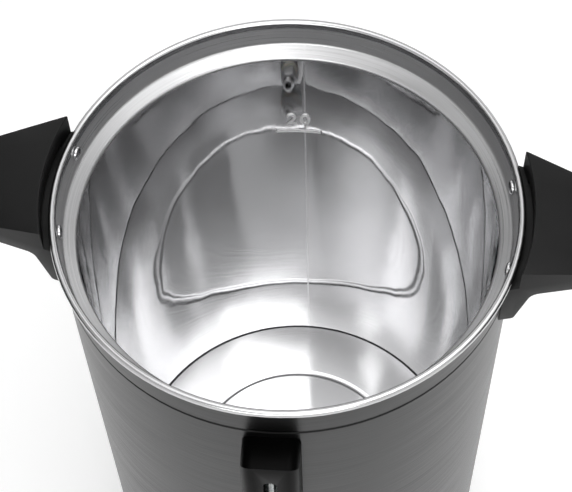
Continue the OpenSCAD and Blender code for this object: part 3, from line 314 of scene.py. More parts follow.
def edgeRound(tree, radius, samples=4):  # catches light along edges
    bevel = tree.nodes.new("ShaderNodeBevel")
    bevel.samples = samples
    bevel.inputs["Radius"].default_value = radius
    return bevel.outputs["Normal"]


def metal(name, look):
    finish, tree, skin = startFinish(name)
    skin.inputs["Metallic"].default_value = 1.0 - look.get("scatter", 0.0)
    patches = cloud(tree, look["patch"])
    lines = turned(tree, look["rings"]) if "rings" in look else cloud(tree, look["lines"])
    tree.links.new(tinted(tree, patches, look["dark"], look["light"]), skin.inputs["Base Color"])
    tree.links.new(between(tree, lines, *look["rough"]), skin.inputs["Roughness"])
    under = edgeRound(tree, look["edge"]) if "edge" in look else None
    if "wave" in look:
        under = relief(tree, cloud(tree, look["waves"], detail=1.0), look["wave"], under)
    tree.links.new(relief(tree, lines, look["scratch"], under), skin.inputs["Normal"])
    return finish


mouldingBase = {"shine": 0.5, "coatRough": 0.12, "milkyDepth": 0.002}  # where a look gives nothing else


def moulding(name, look):
    finish, tree, skin = startFinish(name)
    grain = cloud(tree, look["grain"], detail=2.0)
    smudge = cloud(tree, look["smudge"], detail=3.0)
    tree.links.new(tinted(tree, smudge, look["dark"], look["light"]), skin.inputs["Base Color"])
    tree.links.new(between(tree, smudge, *look["rough"]), skin.inputs["Roughness"])
    skin.inputs["Specular IOR Level"].default_value = look.get("shine", mouldingBase["shine"])
    skin.inputs["Coat Weight"].default_value = look.get("coat", 0.0)
    skin.inputs["Coat Roughness"].default_value = mouldingBase["coatRough"]
    skin.inputs["Transmission Weight"].default_value = look.get("clear", 0.0)
    skin.inputs["Subsurface Weight"].default_value = look.get("milky", 0.0)
    skin.inputs["Subsurface Scale"].default_value = mouldingBase["milkyDepth"]
    grained = relief(tree, grain, look["depth"], edgeRound(tree, look["edge"]))
    tree.links.new(grained, skin.inputs["Normal"])
    return finish


coolTint = 1.01  # how much more blue than red a grey holds


def grey(level):
    return (level, level, level * coolTint)


metals = {  # patterns in repeats for each metre, heights and edges in metres, scatter as a share
    # the tank floor's pale, partly scattering tint is partly its steel and partly painted light, lifting it
    # toward the white it shows
    "floor_steel": {
        "dark": grey(0.84), "light": grey(0.9), "patch": (8, 8, 8), "rings": 900,
        "rough": (0.12, 0.22), "scratch": 0.000002, "waves": (11, 11, 1), "wave": 0.0004,
        "scatter": 0.2,
    },
    # pressed_steel's pale, half-scattering tint is painted highlight, so that the pressed marks show light
    # against the mirror wall
    "pressed_steel": {
        "dark": grey(0.74), "light": grey(0.82), "patch": (60, 60, 60), "lines": (500, 500, 40),
        "rough": (0.3, 0.4), "scratch": 0.000001, "scatter": 0.5,
    },
    "tap_chrome": {
        "dark": grey(0.5), "light": grey(0.58), "patch": (30, 30, 30), "lines": (700, 700, 700),
        "rough": (0.07, 0.17), "scratch": 0.000001, "edge": 0.0006,
    },
    "nut_steel": {
        "dark": grey(0.68), "light": grey(0.78), "patch": (120, 120, 120), "lines": (1200, 300, 1200),
        "rough": (0.3, 0.42), "scratch": 0.000004, "edge": 0.0006, "scatter": 0.4,
    },
    "screw_steel": {
        "dark": grey(0.55), "light": grey(0.72), "patch": (260, 260, 260), "lines": (900, 900, 900),
        "rough": (0.14, 0.3), "scratch": 0.000004, "edge": 0.0003,
    },
    "stem_steel": {
        "dark": grey(0.6), "light": grey(0.72), "patch": (120, 120, 40), "lines": (60, 60, 2600),
        "rough": (0.1, 0.24), "scratch": 0.000004, "edge": 0.0002,
    },
    "pin_brass": {
        "dark": (0.56, 0.38, 0.15), "light": (0.74, 0.55, 0.26), "patch": (90, 90, 90),
        "lines": (1500, 300, 1500), "rough": (0.2, 0.38), "scratch": 0.000006, "edge": 0.0004,
    },
    "plate_steel": {
        "dark": grey(0.38), "light": grey(0.58), "patch": (140, 140, 140), "lines": (700, 700, 700),
        "rough": (0.3, 0.5), "scratch": 0.000006, "edge": 0.0004,
    },
    "bulb_copper": {
        "dark": (0.42, 0.2, 0.1), "light": (0.62, 0.34, 0.2), "patch": (60, 60, 60),
        "lines": (90, 1600, 1600), "rough": (0.25, 0.42), "scratch": 0.000005, "edge": 0.0002,
    },
    "spreader_aluminium": {
        "dark": grey(0.6), "light": grey(0.72), "patch": (30, 30, 30), "lines": (30, 1200, 1200),
        "rough": (0.28, 0.45), "scratch": 0.000008, "edge": 0.0004,
    },
    "element_steel": {
        "dark": grey(0.16), "light": grey(0.3), "patch": (70, 70, 70), "lines": (800, 800, 800),
        "rough": (0.3, 0.5), "scratch": 0.000006, "edge": 0.0003,
    },
}
mouldings = {  # black, white and coloured plastics, rubber and ceramic, in the same units
    "handle_plastic": {
        "dark": grey(0.002), "light": grey(0.004), "rough": (0.38, 0.5), "grain": (1700, 1700, 1700),
        "depth": 0.00003, "smudge": (24, 24, 24), "edge": 0.0006, "shine": 0.23,
    },
    "gauge_plastic": {
        "dark": grey(0.0006), "light": grey(0.001), "rough": (0.3, 0.42), "grain": (2400, 2400, 2400),
        "depth": 0.00001, "smudge": (30, 30, 30), "edge": 0.0006, "shine": 0.04,
    },
    "tap_plastic": {
        "dark": grey(0.01), "light": grey(0.014), "rough": (0.2, 0.3), "grain": (1300, 1300, 1300),
        "depth": 0.000012, "smudge": (40, 40, 40), "edge": 0.0007,
    },
    "base_plastic": {
        "dark": grey(0.012), "light": grey(0.017), "rough": (0.44, 0.56), "grain": (1500, 1500, 1500),
        "depth": 0.00004, "smudge": (20, 20, 20), "edge": 0.0007,
    },
    "fascia_plastic": {
        "dark": grey(0.03), "light": grey(0.036), "rough": (0.3, 0.38), "grain": (2600, 2600, 2600),
        "depth": 0.000015, "smudge": (30, 30, 30), "edge": 0.0004,
    },
    "ceramic_white": {
        "dark": (0.66, 0.62, 0.52), "light": (0.78, 0.75, 0.66), "rough": (0.35, 0.5),
        "grain": (1200, 1200, 1200), "depth": 0.00002, "smudge": (50, 50, 50), "edge": 0.0004,
    },
    "print_white": {
        "dark": (0.7, 0.7, 0.69), "light": (0.8, 0.8, 0.79), "rough": (0.4, 0.5),
        "grain": (3000, 3000, 3000), "depth": 0.000005, "smudge": (200, 200, 200), "edge": 0.00005,
    },
    "cup_silicone": {
        "dark": (0.66, 0.65, 0.6), "light": (0.76, 0.75, 0.7), "rough": (0.45, 0.6),
        "grain": (900, 900, 900), "depth": 0.00002, "smudge": (60, 60, 60), "edge": 0.0005, "milky": 0.3,
    },
    "seal_rubber": {
        "dark": grey(0.018), "light": grey(0.028), "rough": (0.6, 0.8), "grain": (1100, 1100, 1100),
        "depth": 0.00005, "smudge": (35, 35, 35), "edge": 0.0008, "shine": 0.35,
    },
    "wire_sleeve": {
        "dark": (0.2, 0.07, 0.03), "light": (0.32, 0.13, 0.06), "rough": (0.5, 0.65),
        "grain": (1400, 1400, 1400), "depth": 0.00002, "smudge": (50, 50, 50), "edge": 0.0002,
    },
    "rocker_red": {
        "dark": (0.36, 0.012, 0.012), "light": (0.46, 0.02, 0.018), "rough": (0.16, 0.26),
        "grain": (1800, 1800, 1800), "depth": 0.000008, "smudge": (80, 80, 80), "edge": 0.0004, "coat": 0.3,
    },
    "lamp_amber": {
        "dark": (0.75, 0.24, 0.02), "light": (0.85, 0.32, 0.04), "rough": (0.1, 0.18),
        "grain": (1500, 1500, 1500), "depth": 0.00001, "smudge": (120, 120, 120), "edge": 0.0003,
        "clear": 0.45, "coat": 0.4,
    },
    "lamp_green": {
        "dark": (0.05, 0.4, 0.07), "light": (0.08, 0.5, 0.1), "rough": (0.1, 0.18),
        "grain": (1500, 1500, 1500), "depth": 0.00001, "smudge": (120, 120, 120), "edge": 0.0003,
        "clear": 0.45, "coat": 0.4,
    },
}
gaugeGlass = {"tint": (0.93, 0.97, 0.96, 1), "rough": (0.0, 0.05), "haze": (50, 50, 16), "index": 1.47}


def glass(name, look):
    finish, tree, skin = startFinish(name)
    skin.inputs["Base Color"].default_value = look["tint"]
    skin.inputs["Transmission Weight"].default_value = 1.0
    skin.inputs["IOR"].default_value = look["index"]
    tree.links.new(between(tree, cloud(tree, look["haze"]), *look["rough"]), skin.inputs["Roughness"])
    return finish


tankSteel = {
    "dark": grey(0.52), "light": grey(0.58), "patch": (6, 6, 3),
    "lines": (420, 420, 6), "polished": (0.015, 0.05), "scratch": 0.000001,
    "waves": (14, 14, 8), "wave": 0.0006, "ripples": (40, 40, 22), "ripple": 0.00012,
    "satinFrom": 0.507, "satinTo": 0.531, "satinFade": 0.001, "beadFade": 0.0005,  # heights in metres
    "satinLines": (9, 9, 2400), "satin": (0.26, 0.4), "satinSoft": 0.16,  # soft is the share that scatters
    "satinDark": grey(0.52), "satinLight": grey(0.66), "beadRough": 0.2,
    "seamTurn": -1.0, "seamHalf": 0.0009, "seamCore": 0.6, "seamBack": (0.1, 0.11),
    "seamRough": 0.2, "seamLight": grey(0.6),
}
shellSteel = {
    # the dark tint is painted shade: it stands in for the dark surroundings the steel reflects
    "dark": grey(0.036), "light": grey(0.05), "patch": (5, 5, 2), "lines": (14, 14, 1400),
    "rough": (0.28, 0.42), "scratch": 0.000006,
    # the groove's dark colour is painted shade, standing in for shadow under the collar's overhanging edge
    "grooveTop": 0.5069, "grooveTall": 0.0046, "paintedGrooveShade": grey(0.008),
    "fadeShare": 0.6, "fadeTop": 0.0003,  # how softly the painted shade in the groove starts and ends
}


def counted(tree, operation, first, second):  # one sum, with sockets or plain numbers
    node = tree.nodes.new("ShaderNodeMath")
    node.operation = operation
    for socket, value in zip(node.inputs, (first, second)):
        if isinstance(value, (int, float)):
            socket.default_value = value
        else:
            tree.links.new(value, socket)
    return node.outputs[0]


def frameAxes(tree):  # x, y and z in the shared frame
    spot = tree.nodes.new("ShaderNodeTexCoord")
    apart = tree.nodes.new("ShaderNodeSeparateXYZ")
    tree.links.new(spot.outputs["Object"], apart.inputs[0])
    return apart.outputs


def blended(tree, share, below, above):  # one colour over another
    mix = tree.nodes.new("ShaderNodeMix")
    mix.data_type = "RGBA"
    tree.links.new(share, mix.inputs["Factor"])
    tree.links.new(below, mix.inputs["A"])
    if isinstance(above, tuple):
        mix.inputs["B"].default_value = (*above, 1)
    else:
        tree.links.new(above, mix.inputs["B"])
    return mix.outputs["Result"]


def paintTank(look):  # polished wall, satin collar and a weld seam up the back
    finish, tree, skin = startFinish("tank_steel")
    x, y, z = frameAxes(tree)
    turn = math.radians(look["seamTurn"])
    alongX = counted(tree, "MULTIPLY", x, math.cos(turn))
    alongY = counted(tree, "MULTIPLY", y, math.sin(turn))
    aside = counted(tree, "ABSOLUTE", counted(tree, "ADD", alongX, alongY), 0)
    near = rising(tree, aside, look["seamHalf"] * look["seamCore"], look["seamHalf"], 1.0, 0.0)
    below = rising(tree, z, look["satinTo"] - look["beadFade"], look["satinTo"] + look["beadFade"], 1.0, 0.0)
    above = rising(tree, z, look["satinFrom"] - look["satinFade"], look["satinFrom"] + look["satinFade"])
    atBack = rising(tree, y, *look["seamBack"])
    seam = counted(tree, "MULTIPLY", counted(tree, "MULTIPLY", near, atBack), below)
    satin = counted(tree, "MULTIPLY", above, below)
    tree.links.new(rising(tree, satin, 0, 1, 1.0, 1 - look["satinSoft"]), skin.inputs["Metallic"])
    streaks = cloud(tree, look["lines"])
    brushed = cloud(tree, look["satinLines"])
    wallRough = between(tree, streaks, *look["polished"])
    rough = rising(tree, satin, 0, 1, wallRough, between(tree, brushed, *look["satin"]))
    rough = counted(tree, "MAXIMUM", rough, counted(tree, "MULTIPLY", seam, look["seamRough"]))
    rough = counted(tree, "MAXIMUM", rough, rising(tree, below, 0, 1, look["beadRough"], 0.0))
    tree.links.new(rough, skin.inputs["Roughness"])
    patches = tinted(tree, cloud(tree, look["patch"]), look["dark"], look["light"])
    patches = blended(tree, satin, patches, tinted(tree, brushed, look["satinDark"], look["satinLight"]))
    tree.links.new(blended(tree, seam, patches, look["seamLight"]), skin.inputs["Base Color"])
    wavy = relief(tree, cloud(tree, look["waves"], detail=1.0), look["wave"])
    wavy = relief(tree, cloud(tree, look["ripples"], detail=1.0), look["ripple"], wavy)
    tree.links.new(relief(tree, streaks, look["scratch"], wavy), skin.inputs["Normal"])
    return finish


def paintShell(look):  # brushed round the sleeve, its dark tint painted shade for the surroundings it reflects, with more painted shade in the rolled groove
    finish, tree, skin = startFinish("shell_steel")
    skin.inputs["Metallic"].default_value = 1.0
    z = frameAxes(tree)["Z"]
    low = look["grooveTop"] - look["grooveTall"]
    fromBelow = rising(tree, z, low, low + look["grooveTall"] * look["fadeShare"])
    fromAbove = rising(tree, z, look["grooveTop"], look["grooveTop"] + look["fadeTop"], 1.0, 0.0)
    grooveShadeMask = counted(tree, "MULTIPLY", fromBelow, fromAbove)
    lines = cloud(tree, look["lines"])
    # the dark base colour is painted shade, for the dark surroundings the steel reflects
    patches = tinted(tree, cloud(tree, look["patch"]), look["dark"], look["light"])
    # painted shade: the groove is darkened in the colour, sharp under its top edge and fading out below
    tree.links.new(blended(tree, grooveShadeMask, patches, look["paintedGrooveShade"]), skin.inputs["Base Color"])
    tree.links.new(between(tree, lines, *look["rough"]), skin.inputs["Roughness"])
    tree.links.new(relief(tree, lines, look["scratch"]), skin.inputs["Normal"])
    return finish


finishes = {name: metal(name, look) for name, look in metals.items()}
finishes.update({name: moulding(name, look) for name, look in mouldings.items()})
finishes["gauge_glass"] = glass("gauge_glass", gaugeGlass)
finishes["tank_steel"] = paintTank(tankSteel)
finishes["shell_steel"] = paintShell(shellSteel)
ownFinish = {"tank_floor": "floor_steel", "tap_nut": "nut_steel"}
slotOf = {name: node.data.materials[0].name.split(".")[0] for name, node in nodes.items()}
bodyOf = {name: node.parent.name.split(":")[1] for name, node in nodes.items()}
for name, node in nodes.items():
    node.data.materials[0] = finishes[ownFinish.get(name, slotOf[name])]
print("finishes: ", len(finishes), "on", len(nodes), "nodes")


# pieces

touching = 0.000001  # metres, closer points count as one


def addPiece(name, mesh, finish, body="root", stands=()):
    mesh.name = name
    mesh.materials.clear()
    mesh.materials.append(finishes[finish])
    piece = bpy.data.objects.new(name, mesh)
    scene.collection.objects.link(piece)
    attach(piece, body)
    if stands:
        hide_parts(*stands)
    return piece


def joined(meshes):  # several meshes as one piece
    shape = bmesh.new()
    for mesh in meshes:
        shape.from_mesh(mesh)
        bpy.data.meshes.remove(mesh)
    whole = bpy.data.meshes.new("joined")
    shape.to_mesh(whole)
    shape.free()
    return whole


def lathed(profile, around=192):  # profile of (radius, height), turned about the frame's upright axis
    shape = bmesh.new()
    rings = []
    for radius, height in profile:
        if radius < touching:
            rings.append([shape.verts.new((0, 0, height))])
            continue
        turns = [2 * math.pi * step / around for step in range(around)]
        spots = [(radius * math.cos(turn), radius * math.sin(turn), height) for turn in turns]
        rings.append([shape.verts.new(spot) for spot in spots])
    for inner, outer in zip(rings, rings[1:]):
        for step in range(around):
            after = (step + 1) % around
            corners = [inner[step % len(inner)], outer[step % len(outer)]]
            corners += [outer[after % len(outer)], inner[after % len(inner)]]
            shape.faces.new(list(dict.fromkeys(corners)))  # a ring on the axis gives triangles
    bmesh.ops.recalc_face_normals(shape, faces=shape.faces)
    mesh = bpy.data.meshes.new("lathed")
    shape.to_mesh(mesh)
    shape.free()
    mesh.shade_smooth()
    return mesh


def rounded(points, bends, steps=6):  # a path with its corners turned into soft curves
    path = [points[0]]
    for before, corner, after, bend in zip(points, points[1:], points[2:], bends):
        before, corner, after = Vector(before), Vector(corner), Vector(after)
        intoCorner = (before - corner).normalized()
        outOfCorner = (after - corner).normalized()
        reach = bend / math.tan(intoCorner.angle(outOfCorner) / 2)
        start = corner + intoCorner * reach
        end = corner + outOfCorner * reach
        for step in range(steps + 1):
            share = step / steps
            path.append(tuple(start.lerp(corner, share).lerp(corner.lerp(end, share), share)))
    path.append(points[-1])
    return path


softFold = {"flat": 1, "rounded": 28, "crease": 32, "steps": 3, "profile": 0.5}  # angles in degrees


def softened(node, edge):  # a copy of a node's mesh with its edges rounded
    source = nodes[node].data
    shape = bmesh.new()
    verts = [shape.verts.new(vertex.co) for vertex in source.vertices]
    for face in source.polygons:
        shape.faces.new([verts[corner] for corner in face.vertices])
    bmesh.ops.remove_doubles(shape, verts=shape.verts, dist=touching)
    flat = math.radians(softFold["flat"])
    bmesh.ops.dissolve_limit(shape, angle_limit=flat, verts=shape.verts, edges=shape.edges)
    shared = [fold for fold in shape.edges if len(fold.link_faces) == 2]
    folds = [fold for fold in shared if fold.calc_face_angle() > math.radians(softFold["rounded"])]
    bmesh.ops.bevel(
        shape, geom=folds, offset=edge, offset_type="OFFSET", segments=softFold["steps"],
        profile=softFold["profile"], affect="EDGES", clamp_overlap=True, loop_slide=True,
    )
    mesh = bpy.data.meshes.new("softened")
    shape.to_mesh(mesh)
    shape.free()
    mesh.shade_smooth()
    mesh.set_sharp_from_angle(angle=math.radians(softFold["crease"]))
    return mesh


softEdges = {  # how far each piece's edges are rounded, in metres
    "left_handle": 0.0008, "right_handle": 0.0008, "gauge_housing": 0.0006,
    "tap_body": 0.0009, "tap_bonnet": 0.0006, "tap_lever": 0.001, "tap_nut": 0.0007,
    "dial_knob": 0.0006, "base_ring": 0.0008, "power_inlet": 0.0006,
}
for name, edge in softEdges.items():
    mesh = softened(name, edge)
    addPiece("soft_" + name, mesh, ownFinish.get(name, slotOf[name]), bodyOf[name], [name])
    print("softened: ", name, len(mesh.polygons), "faces")


tankFloor = {
    "rim": 0.1429, "height": 0.112, "thick": 0.0012, "skirt": 0.102, "bend": 0.001,
    "ringRadius": 0.0935, "ringWide": 0.0052, "ringFlat": 0.4, "ringDeep": 0.0008, "ringBend": 0.003,
}


def pressFloor(size):  # a dished plate with a soft pressed ring and a turned-down flange
    ring, high = size["ringRadius"], size["height"]
    half = size["ringWide"] / 2
    flat = half * size["ringFlat"]
    low = high - size["ringDeep"]
    outline = [
        (0, high), (ring - half, high), (ring - flat, low), (ring + flat, low), (ring + half, high),
        (size["rim"], high), (size["rim"], size["skirt"]),
    ]
    top = rounded(outline, [size["ringBend"]] * 4 + [size["bend"]])
    under = []
    for radius, height in top[:-1]:
        atFlange = radius > size["rim"] - size["thick"]
        under.append((max(0, radius - size["thick"] * atFlange), height - size["thick"]))
    inside = (size["rim"] - size["thick"], size["skirt"])
    return lathed(top + [inside] + under[::-1])


# its pale tint is partly painted light
addPiece("tankFloor", pressFloor(tankFloor), "floor_steel", stands=["tank_floor"])
print("floor: pressed")


panScrew = {
    "headRadius": 0.0053, "headTall": 0.0025, "shankRadius": 0.002, "long": 0.015,
    "slotLong": 0.005, "slotWide": 0.001, "slotDeep": 0.0012,
    "seat": 0.1530, "height": 0.5251,  # on the inside of the collar
    "turns": (-14.8, 9.8, 165.2, 189.8),  # degrees round it
}
panShape = {"dome": 0.6, "steps": 12, "around": 40, "crease": 35}  # a smaller dome is a fuller head


def carved(mesh, cutter):  # a mesh with another cut out of it
    block, tool = [bpy.data.objects.new("carve", data) for data in (mesh, cutter)]
    for helper in (block, tool):
        scene.collection.objects.link(helper)
    cut = block.modifiers.new("cut", "BOOLEAN")
    cut.object = tool
    result = bpy.data.meshes.new_from_object(block.evaluated_get(bpy.context.evaluated_depsgraph_get()))
    for helper in (block, tool):
        bpy.data.objects.remove(helper)
    return result


def panHead(size):  # a domed head on a plain shank, with a cross recess
    head, tall, shank, end = size["headRadius"], size["headTall"], size["shankRadius"], -size["long"]
    leans = [math.pi / 2 * step / panShape["steps"] for step in range(panShape["steps"])]
    crown = [(head * math.sin(lean), tall * math.cos(lean) ** panShape["dome"]) for lean in leans]
    foot = [(head, 0), (shank, 0), (shank, end), (0, end)]
    shape = bmesh.new()
    for wide, deep in ((size["slotLong"], size["slotWide"]), (size["slotWide"], size["slotLong"])):
        made = bmesh.ops.create_cube(shape, size=1.0)["verts"]
        bmesh.ops.scale(shape, vec=(wide, deep, 2 * size["slotDeep"]), verts=made)
        bmesh.ops.translate(shape, vec=(0, 0, tall), verts=made)
    cross = bpy.data.meshes.new("cross")
    shape.to_mesh(cross)
    shape.free()
    mesh = carved(lathed(crown + foot, panShape["around"]), cross)
    mesh.set_sharp_from_angle(angle=math.radians(panShape["crease"]))
    return mesh


def collarScrews(size):
    screws = []
    for angle in size["turns"]:
        turn = math.radians(angle)
        inward = Vector((-math.cos(turn), -math.sin(turn), 0))
        place = Vector((size["seat"] * math.cos(turn), size["seat"] * math.sin(turn), size["height"]))
        mesh = panHead(size)
        mesh.transform(Matrix.Translation(place) @ inward.to_track_quat("Z", "Y").to_matrix().to_4x4())
        screws.append(mesh)
    return joined(screws)


addPiece("collarScrews", collarScrews(panScrew), "screw_steel", stands=["handle_screws"])
print("screws: four on the collar")

plateScrews = {
    "fascia_screws": {
        "headRadius": 0.0025, "headTall": 0.0012, "shankRadius": 0.0014,
        "slotLong": 0.0028, "slotWide": 0.0006, "slotDeep": 0.0007, "out": -1,  # towards the front
    },
    "inlet_screws": {
        "headRadius": 0.0027, "headTall": 0.0015, "shankRadius": 0.0015,
        "slotLong": 0.003, "slotWide": 0.0007, "slotDeep": 0.0008, "out": 1,  # towards the back
    },
}


def cornerScrews(node, size):  # one at each corner of the box that the node's screws fill
    low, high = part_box(node)
    edge = size["headRadius"]
    seat = (high.y if size["out"] > 0 else low.y) - size["out"] * size["headTall"]
    whole = {**size, "long": high.y - low.y - size["headTall"]}
    facing = Vector((0, size["out"], 0)).to_track_quat("Z", "Y").to_matrix().to_4x4()
    acrosses = (low.x + edge, high.x - edge)
    places = 5  # decimals that tell two screws apart
    heights = {round(height, places) for height in (low.z + edge, high.z - edge)}  # one row where they agree
    spots = [(round(across, places), height) for across in acrosses for height in heights]
    screws = []
    for x, z in sorted(spots):
        mesh = panHead(whole)
        mesh.transform(Matrix.Translation((x, seat, z)) @ facing)
        screws.append(mesh)
    return joined(screws)


for name, size in plateScrews.items():
    addPiece("cross_" + name, cornerScrews(name, size), "screw_steel", stands=[name])
    print("screws: ", name)


halfDeep = 0.5  # marks have a unit depth until they are laid on


def markText(word, tall, roundness=0.0, apart=1.0, steps=3):  # numerals, centred, with a unit depth
    curve = bpy.data.curves.new("mark", "FONT")
    curve.body = word
    curve.align_x = "CENTER"
    curve.space_character = apart
    curve.bevel_depth = roundness
    curve.bevel_resolution = steps
    curve.offset = -roundness / 2
    curve.extrude = halfDeep
    holder = bpy.data.objects.new("mark", curve)
    scene.collection.objects.link(holder)
    mesh = bpy.data.meshes.new_from_object(holder.evaluated_get(bpy.context.evaluated_depsgraph_get()))
    bpy.data.objects.remove(holder)
    low = min(vertex.co.y for vertex in mesh.vertices)
    high = max(vertex.co.y for vertex in mesh.vertices)
    deep = max(vertex.co.z for vertex in mesh.vertices)
    grow = tall / (high - low)
    for vertex in mesh.vertices:
        lift = (vertex.co.z + deep) / (2 * deep)
        vertex.co = (vertex.co.x * grow, (vertex.co.y - (low + high) / 2) * grow, lift)
    return mesh


def markBar(wide, tall):  # a stroke, with a unit depth
    shape = bmesh.new()
    bmesh.ops.create_cube(shape, size=1.0)
    bmesh.ops.subdivide_edges(shape, edges=shape.edges, cuts=2, use_grid_fill=True)
    for vert in shape.verts:
        vert.co = (vert.co.x * wide, vert.co.y * tall, vert.co.z + halfDeep)
    mesh = bpy.data.meshes.new("bar")
    shape.to_mesh(mesh)
    shape.free()
    return mesh


markSeat = {"from": -1.0, "sunk": 0.2}  # looked for from well in front, and a fifth of it sunk in


def laidOn(mesh, node, centre, thick, turn=0.0):  # puts a flat mark on the front of a node
    source = nodes[node].data
    tree = BVHTree.FromPolygons([v.co for v in source.vertices], [f.vertices for f in source.polygons])
    spin = Matrix.Rotation(turn, 2)
    for vertex in mesh.vertices:
        across, up = spin @ Vector((vertex.co.x, vertex.co.y))
        place = Vector((centre[0] + across, markSeat["from"], centre[1] + up))
        hit = tree.ray_cast(place, Vector((0, 1, 0)))[0]
        vertex.co = (place.x, hit.y - thick * (vertex.co.z - markSeat["sunk"]), place.z)
    return mesh


levelMark = {
    "word": "20", "tall": 0.0125, "round": 0.03, "apart": 1.2, "height": 0.4372,
    "line": 0.4216, "lineArc": 14.6, "lineTall": 0.0026, "lineTaper": 0.08, "lineSteps": (60, 12),
    "thick": 0.0011, "sunk": 0.0001, "wall": 0.1434, "turn": 91.0,  # degrees round the tank
}


def onWall(look, across, up, proud):  # a spot on the inside of the tank, seen from the front
    turn = math.radians(look["turn"]) - across / look["wall"]
    radius = look["wall"] + look["sunk"] - proud
    return Vector((radius * math.cos(turn), radius * math.sin(turn), up))


def pressLevel(look):  # raised numerals over a rounded level line
    numbers = markText(look["word"], look["tall"], look["round"], look["apart"])
    for vertex in numbers.vertices:
        vertex.co = onWall(look, vertex.co.x, look["height"] + vertex.co.y, look["thick"] * vertex.co.z)
    shape = bmesh.new()
    length = math.radians(look["lineArc"]) * look["wall"]
    along, around = look["lineSteps"]
    rows = []
    for step in range(along + 1):
        share = 2 * step / along - 1
        full = min(1.0, math.sqrt(max(0.0, (1 - abs(share)) / look["lineTaper"])))
        row = []
        for side in range(around + 1):
            lean = math.pi * side / around
            up = look["line"] + look["lineTall"] / 2 * math.cos(lean) * full
            proud = look["thick"] * math.sin(lean) * full
            row.append(shape.verts.new(onWall(look, share * length / 2, up, proud)))
        rows.append(row)
    for first, second in zip(rows, rows[1:]):
        for side in range(around):
            shape.faces.new([first[side], first[side + 1], second[side + 1], second[side]])
    line = bpy.data.meshes.new("line")
    shape.to_mesh(line)
    shape.free()
    mesh = joined([numbers, line])
    mesh.shade_smooth()
    return mesh


# the numerals and level line are tinted pale: painted highlight
addPiece("levelMark", pressLevel(levelMark), "pressed_steel")

panelCentre = (0.0, 0.038)  # of the dial, across and up
dialScale = {
    "numbers": ["0", "40", "60", "80", "100"], "start": 180, "sweep": 270,  # degrees, clockwise from the top
    "wide": 0.0218, "high": 0.0205, "tall": 0.0026, "thick": 0.00015,
    "ticks": 0.0183, "tickWide": 0.0004, "tickLong": 0.0011,
}


def printScale(look):  # numbers round the dial, and ticks at them and halfway between
    marks = []
    step = look["sweep"] / (len(look["numbers"]) - 1)
    for index, word in enumerate(look["numbers"]):
        turn = math.radians(look["start"] + index * step)
        out = Vector((look["wide"] * math.sin(turn), look["high"] * math.cos(turn)))
        number = markText(word, look["tall"])
        marks.append(laidOn(number, "control_fascia", Vector(panelCentre) + out, look["thick"]))
    for index in range(2 * len(look["numbers"]) - 1):
        turn = math.radians(look["start"] + index * step / 2)
        out = Vector((math.sin(turn), math.cos(turn))) * look["ticks"]
        tick = markBar(look["tickWide"], look["tickLong"])
        marks.append(laidOn(tick, "control_fascia", Vector(panelCentre) + out, look["thick"], -turn))
    return joined(marks)


addPiece("dialScale", printScale(dialScale), "print_white")

dialPointer = {"wide": 0.0012, "long": 0.008, "out": 0.0105, "thick": 0.0002}
stroke = markBar(dialPointer["wide"], dialPointer["long"])
strokeCentre = (panelCentre[0], panelCentre[1] - dialPointer["out"])
pointer = laidOn(stroke, "dial_knob", strokeCentre, dialPointer["thick"])
addPiece("dialPointer", pointer, "print_white", "dial")

gaugeScale = {
    "litres": [5, 10, 15, 20], "floor": 0.112, "perLitre": 0.01548,  # metres up the tank
    "tall": 0.0046, "aside": 0.0086, "thick": 0.00015,
    "tick": 0.0058, "tickWide": 0.0016, "tickTall": 0.0005,
}


def printGauge(look):  # a number at each of the named levels and a tick at each litre between
    marks = []
    for litres in look["litres"]:
        height = look["floor"] + litres * look["perLitre"]
        number = markText(str(litres), look["tall"])
        marks.append(laidOn(number, "gauge_housing", (look["aside"], height), look["thick"]))
    for litres in range(look["litres"][0], look["litres"][-1] + 1):
        height = look["floor"] + litres * look["perLitre"]
        if litres not in look["litres"]:
            tick = markBar(look["tickWide"], look["tickTall"])
            marks.append(laidOn(tick, "gauge_housing", (look["tick"], height), look["thick"]))
    return joined(marks)


addPiece("gaugeScale", printGauge(gaugeScale), "print_white")

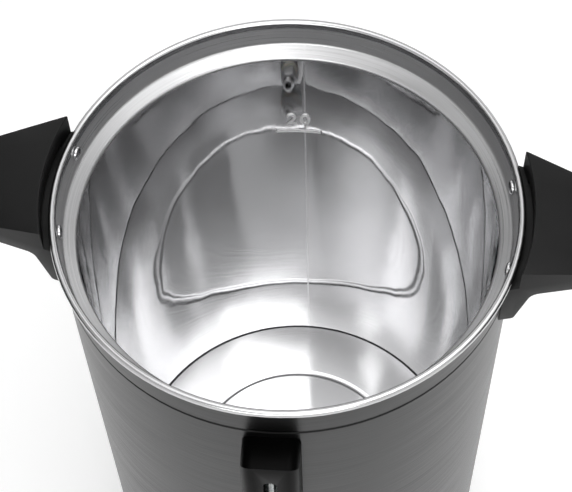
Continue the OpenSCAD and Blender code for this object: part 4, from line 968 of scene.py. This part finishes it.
rockerMarks = {
    "across": 0.033, "on": 0.042, "off": 0.0327, "wide": 0.0006, "tall": 0.0034, "thick": 0.0002,
}


def printRocker(look):  # a stroke for on and a nought for off
    onMark = markBar(look["wide"], look["tall"])
    offMark = markText("0", look["tall"])
    laidOn(onMark, "rocker", (look["across"], look["on"]), look["thick"])
    laidOn(offMark, "rocker", (look["across"], look["off"]), look["thick"])
    return joined([onMark, offMark])


addPiece("rockerMarks", printRocker(rockerMarks), "print_white", "rocker")
print("marks: level, dial, gauge and rocker")


springs = {  # wire is its radius, and travel what the joint takes off the length, in metres
    "tap_spring": {"wire": 0.0006, "turns": 4, "joint": "stem_lift", "travel": 0.00366},
    "reset_spring": {"wire": 0.0005, "turns": 6, "joint": "reset_press", "travel": 0.003},
}


def coiled(node, look, perTurn=40, sides=10, closed=0.75):  # round wire, level at both ends
    low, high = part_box(node)
    centre = (low + high) / 2
    radius = (high.x - low.x) / 2 - look["wire"]
    start = low.z + look["wire"]
    climb = high.z - look["wire"] - start
    shape = bmesh.new()
    total = look["turns"] * perTurn
    rings = []
    for step in range(total + 1):
        turn = 2 * math.pi * step / perTurn
        rise = min(1.0, max(0.0, (step - perTurn * closed) / (total - 2 * perTurn * closed)))
        out = Vector((math.cos(turn), math.sin(turn), 0))
        middle = Vector((centre.x, centre.y, start + climb * rise)) + out * radius
        ring = []
        for side in range(sides):
            lean = 2 * math.pi * side / sides
            spoke = out * math.cos(lean) + Vector((0, 0, math.sin(lean)))
            ring.append(shape.verts.new(middle + spoke * look["wire"]))
        rings.append(ring)
    for first, second in zip(rings, rings[1:]):
        for side in range(sides):
            after = (side + 1) % sides
            shape.faces.new([first[side], first[after], second[after], second[side]])
    shape.faces.new(rings[0][::-1])
    shape.faces.new(rings[-1])
    bmesh.ops.recalc_face_normals(shape, faces=shape.faces)
    mesh = bpy.data.meshes.new("coiled")
    shape.to_mesh(mesh)
    shape.free()
    mesh.shade_smooth()
    return mesh


for name, look in springs.items():
    spring = addPiece("coil_" + name, coiled(name, look), "stem_steel", stands=[name])
    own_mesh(spring)
print("springs: wound")
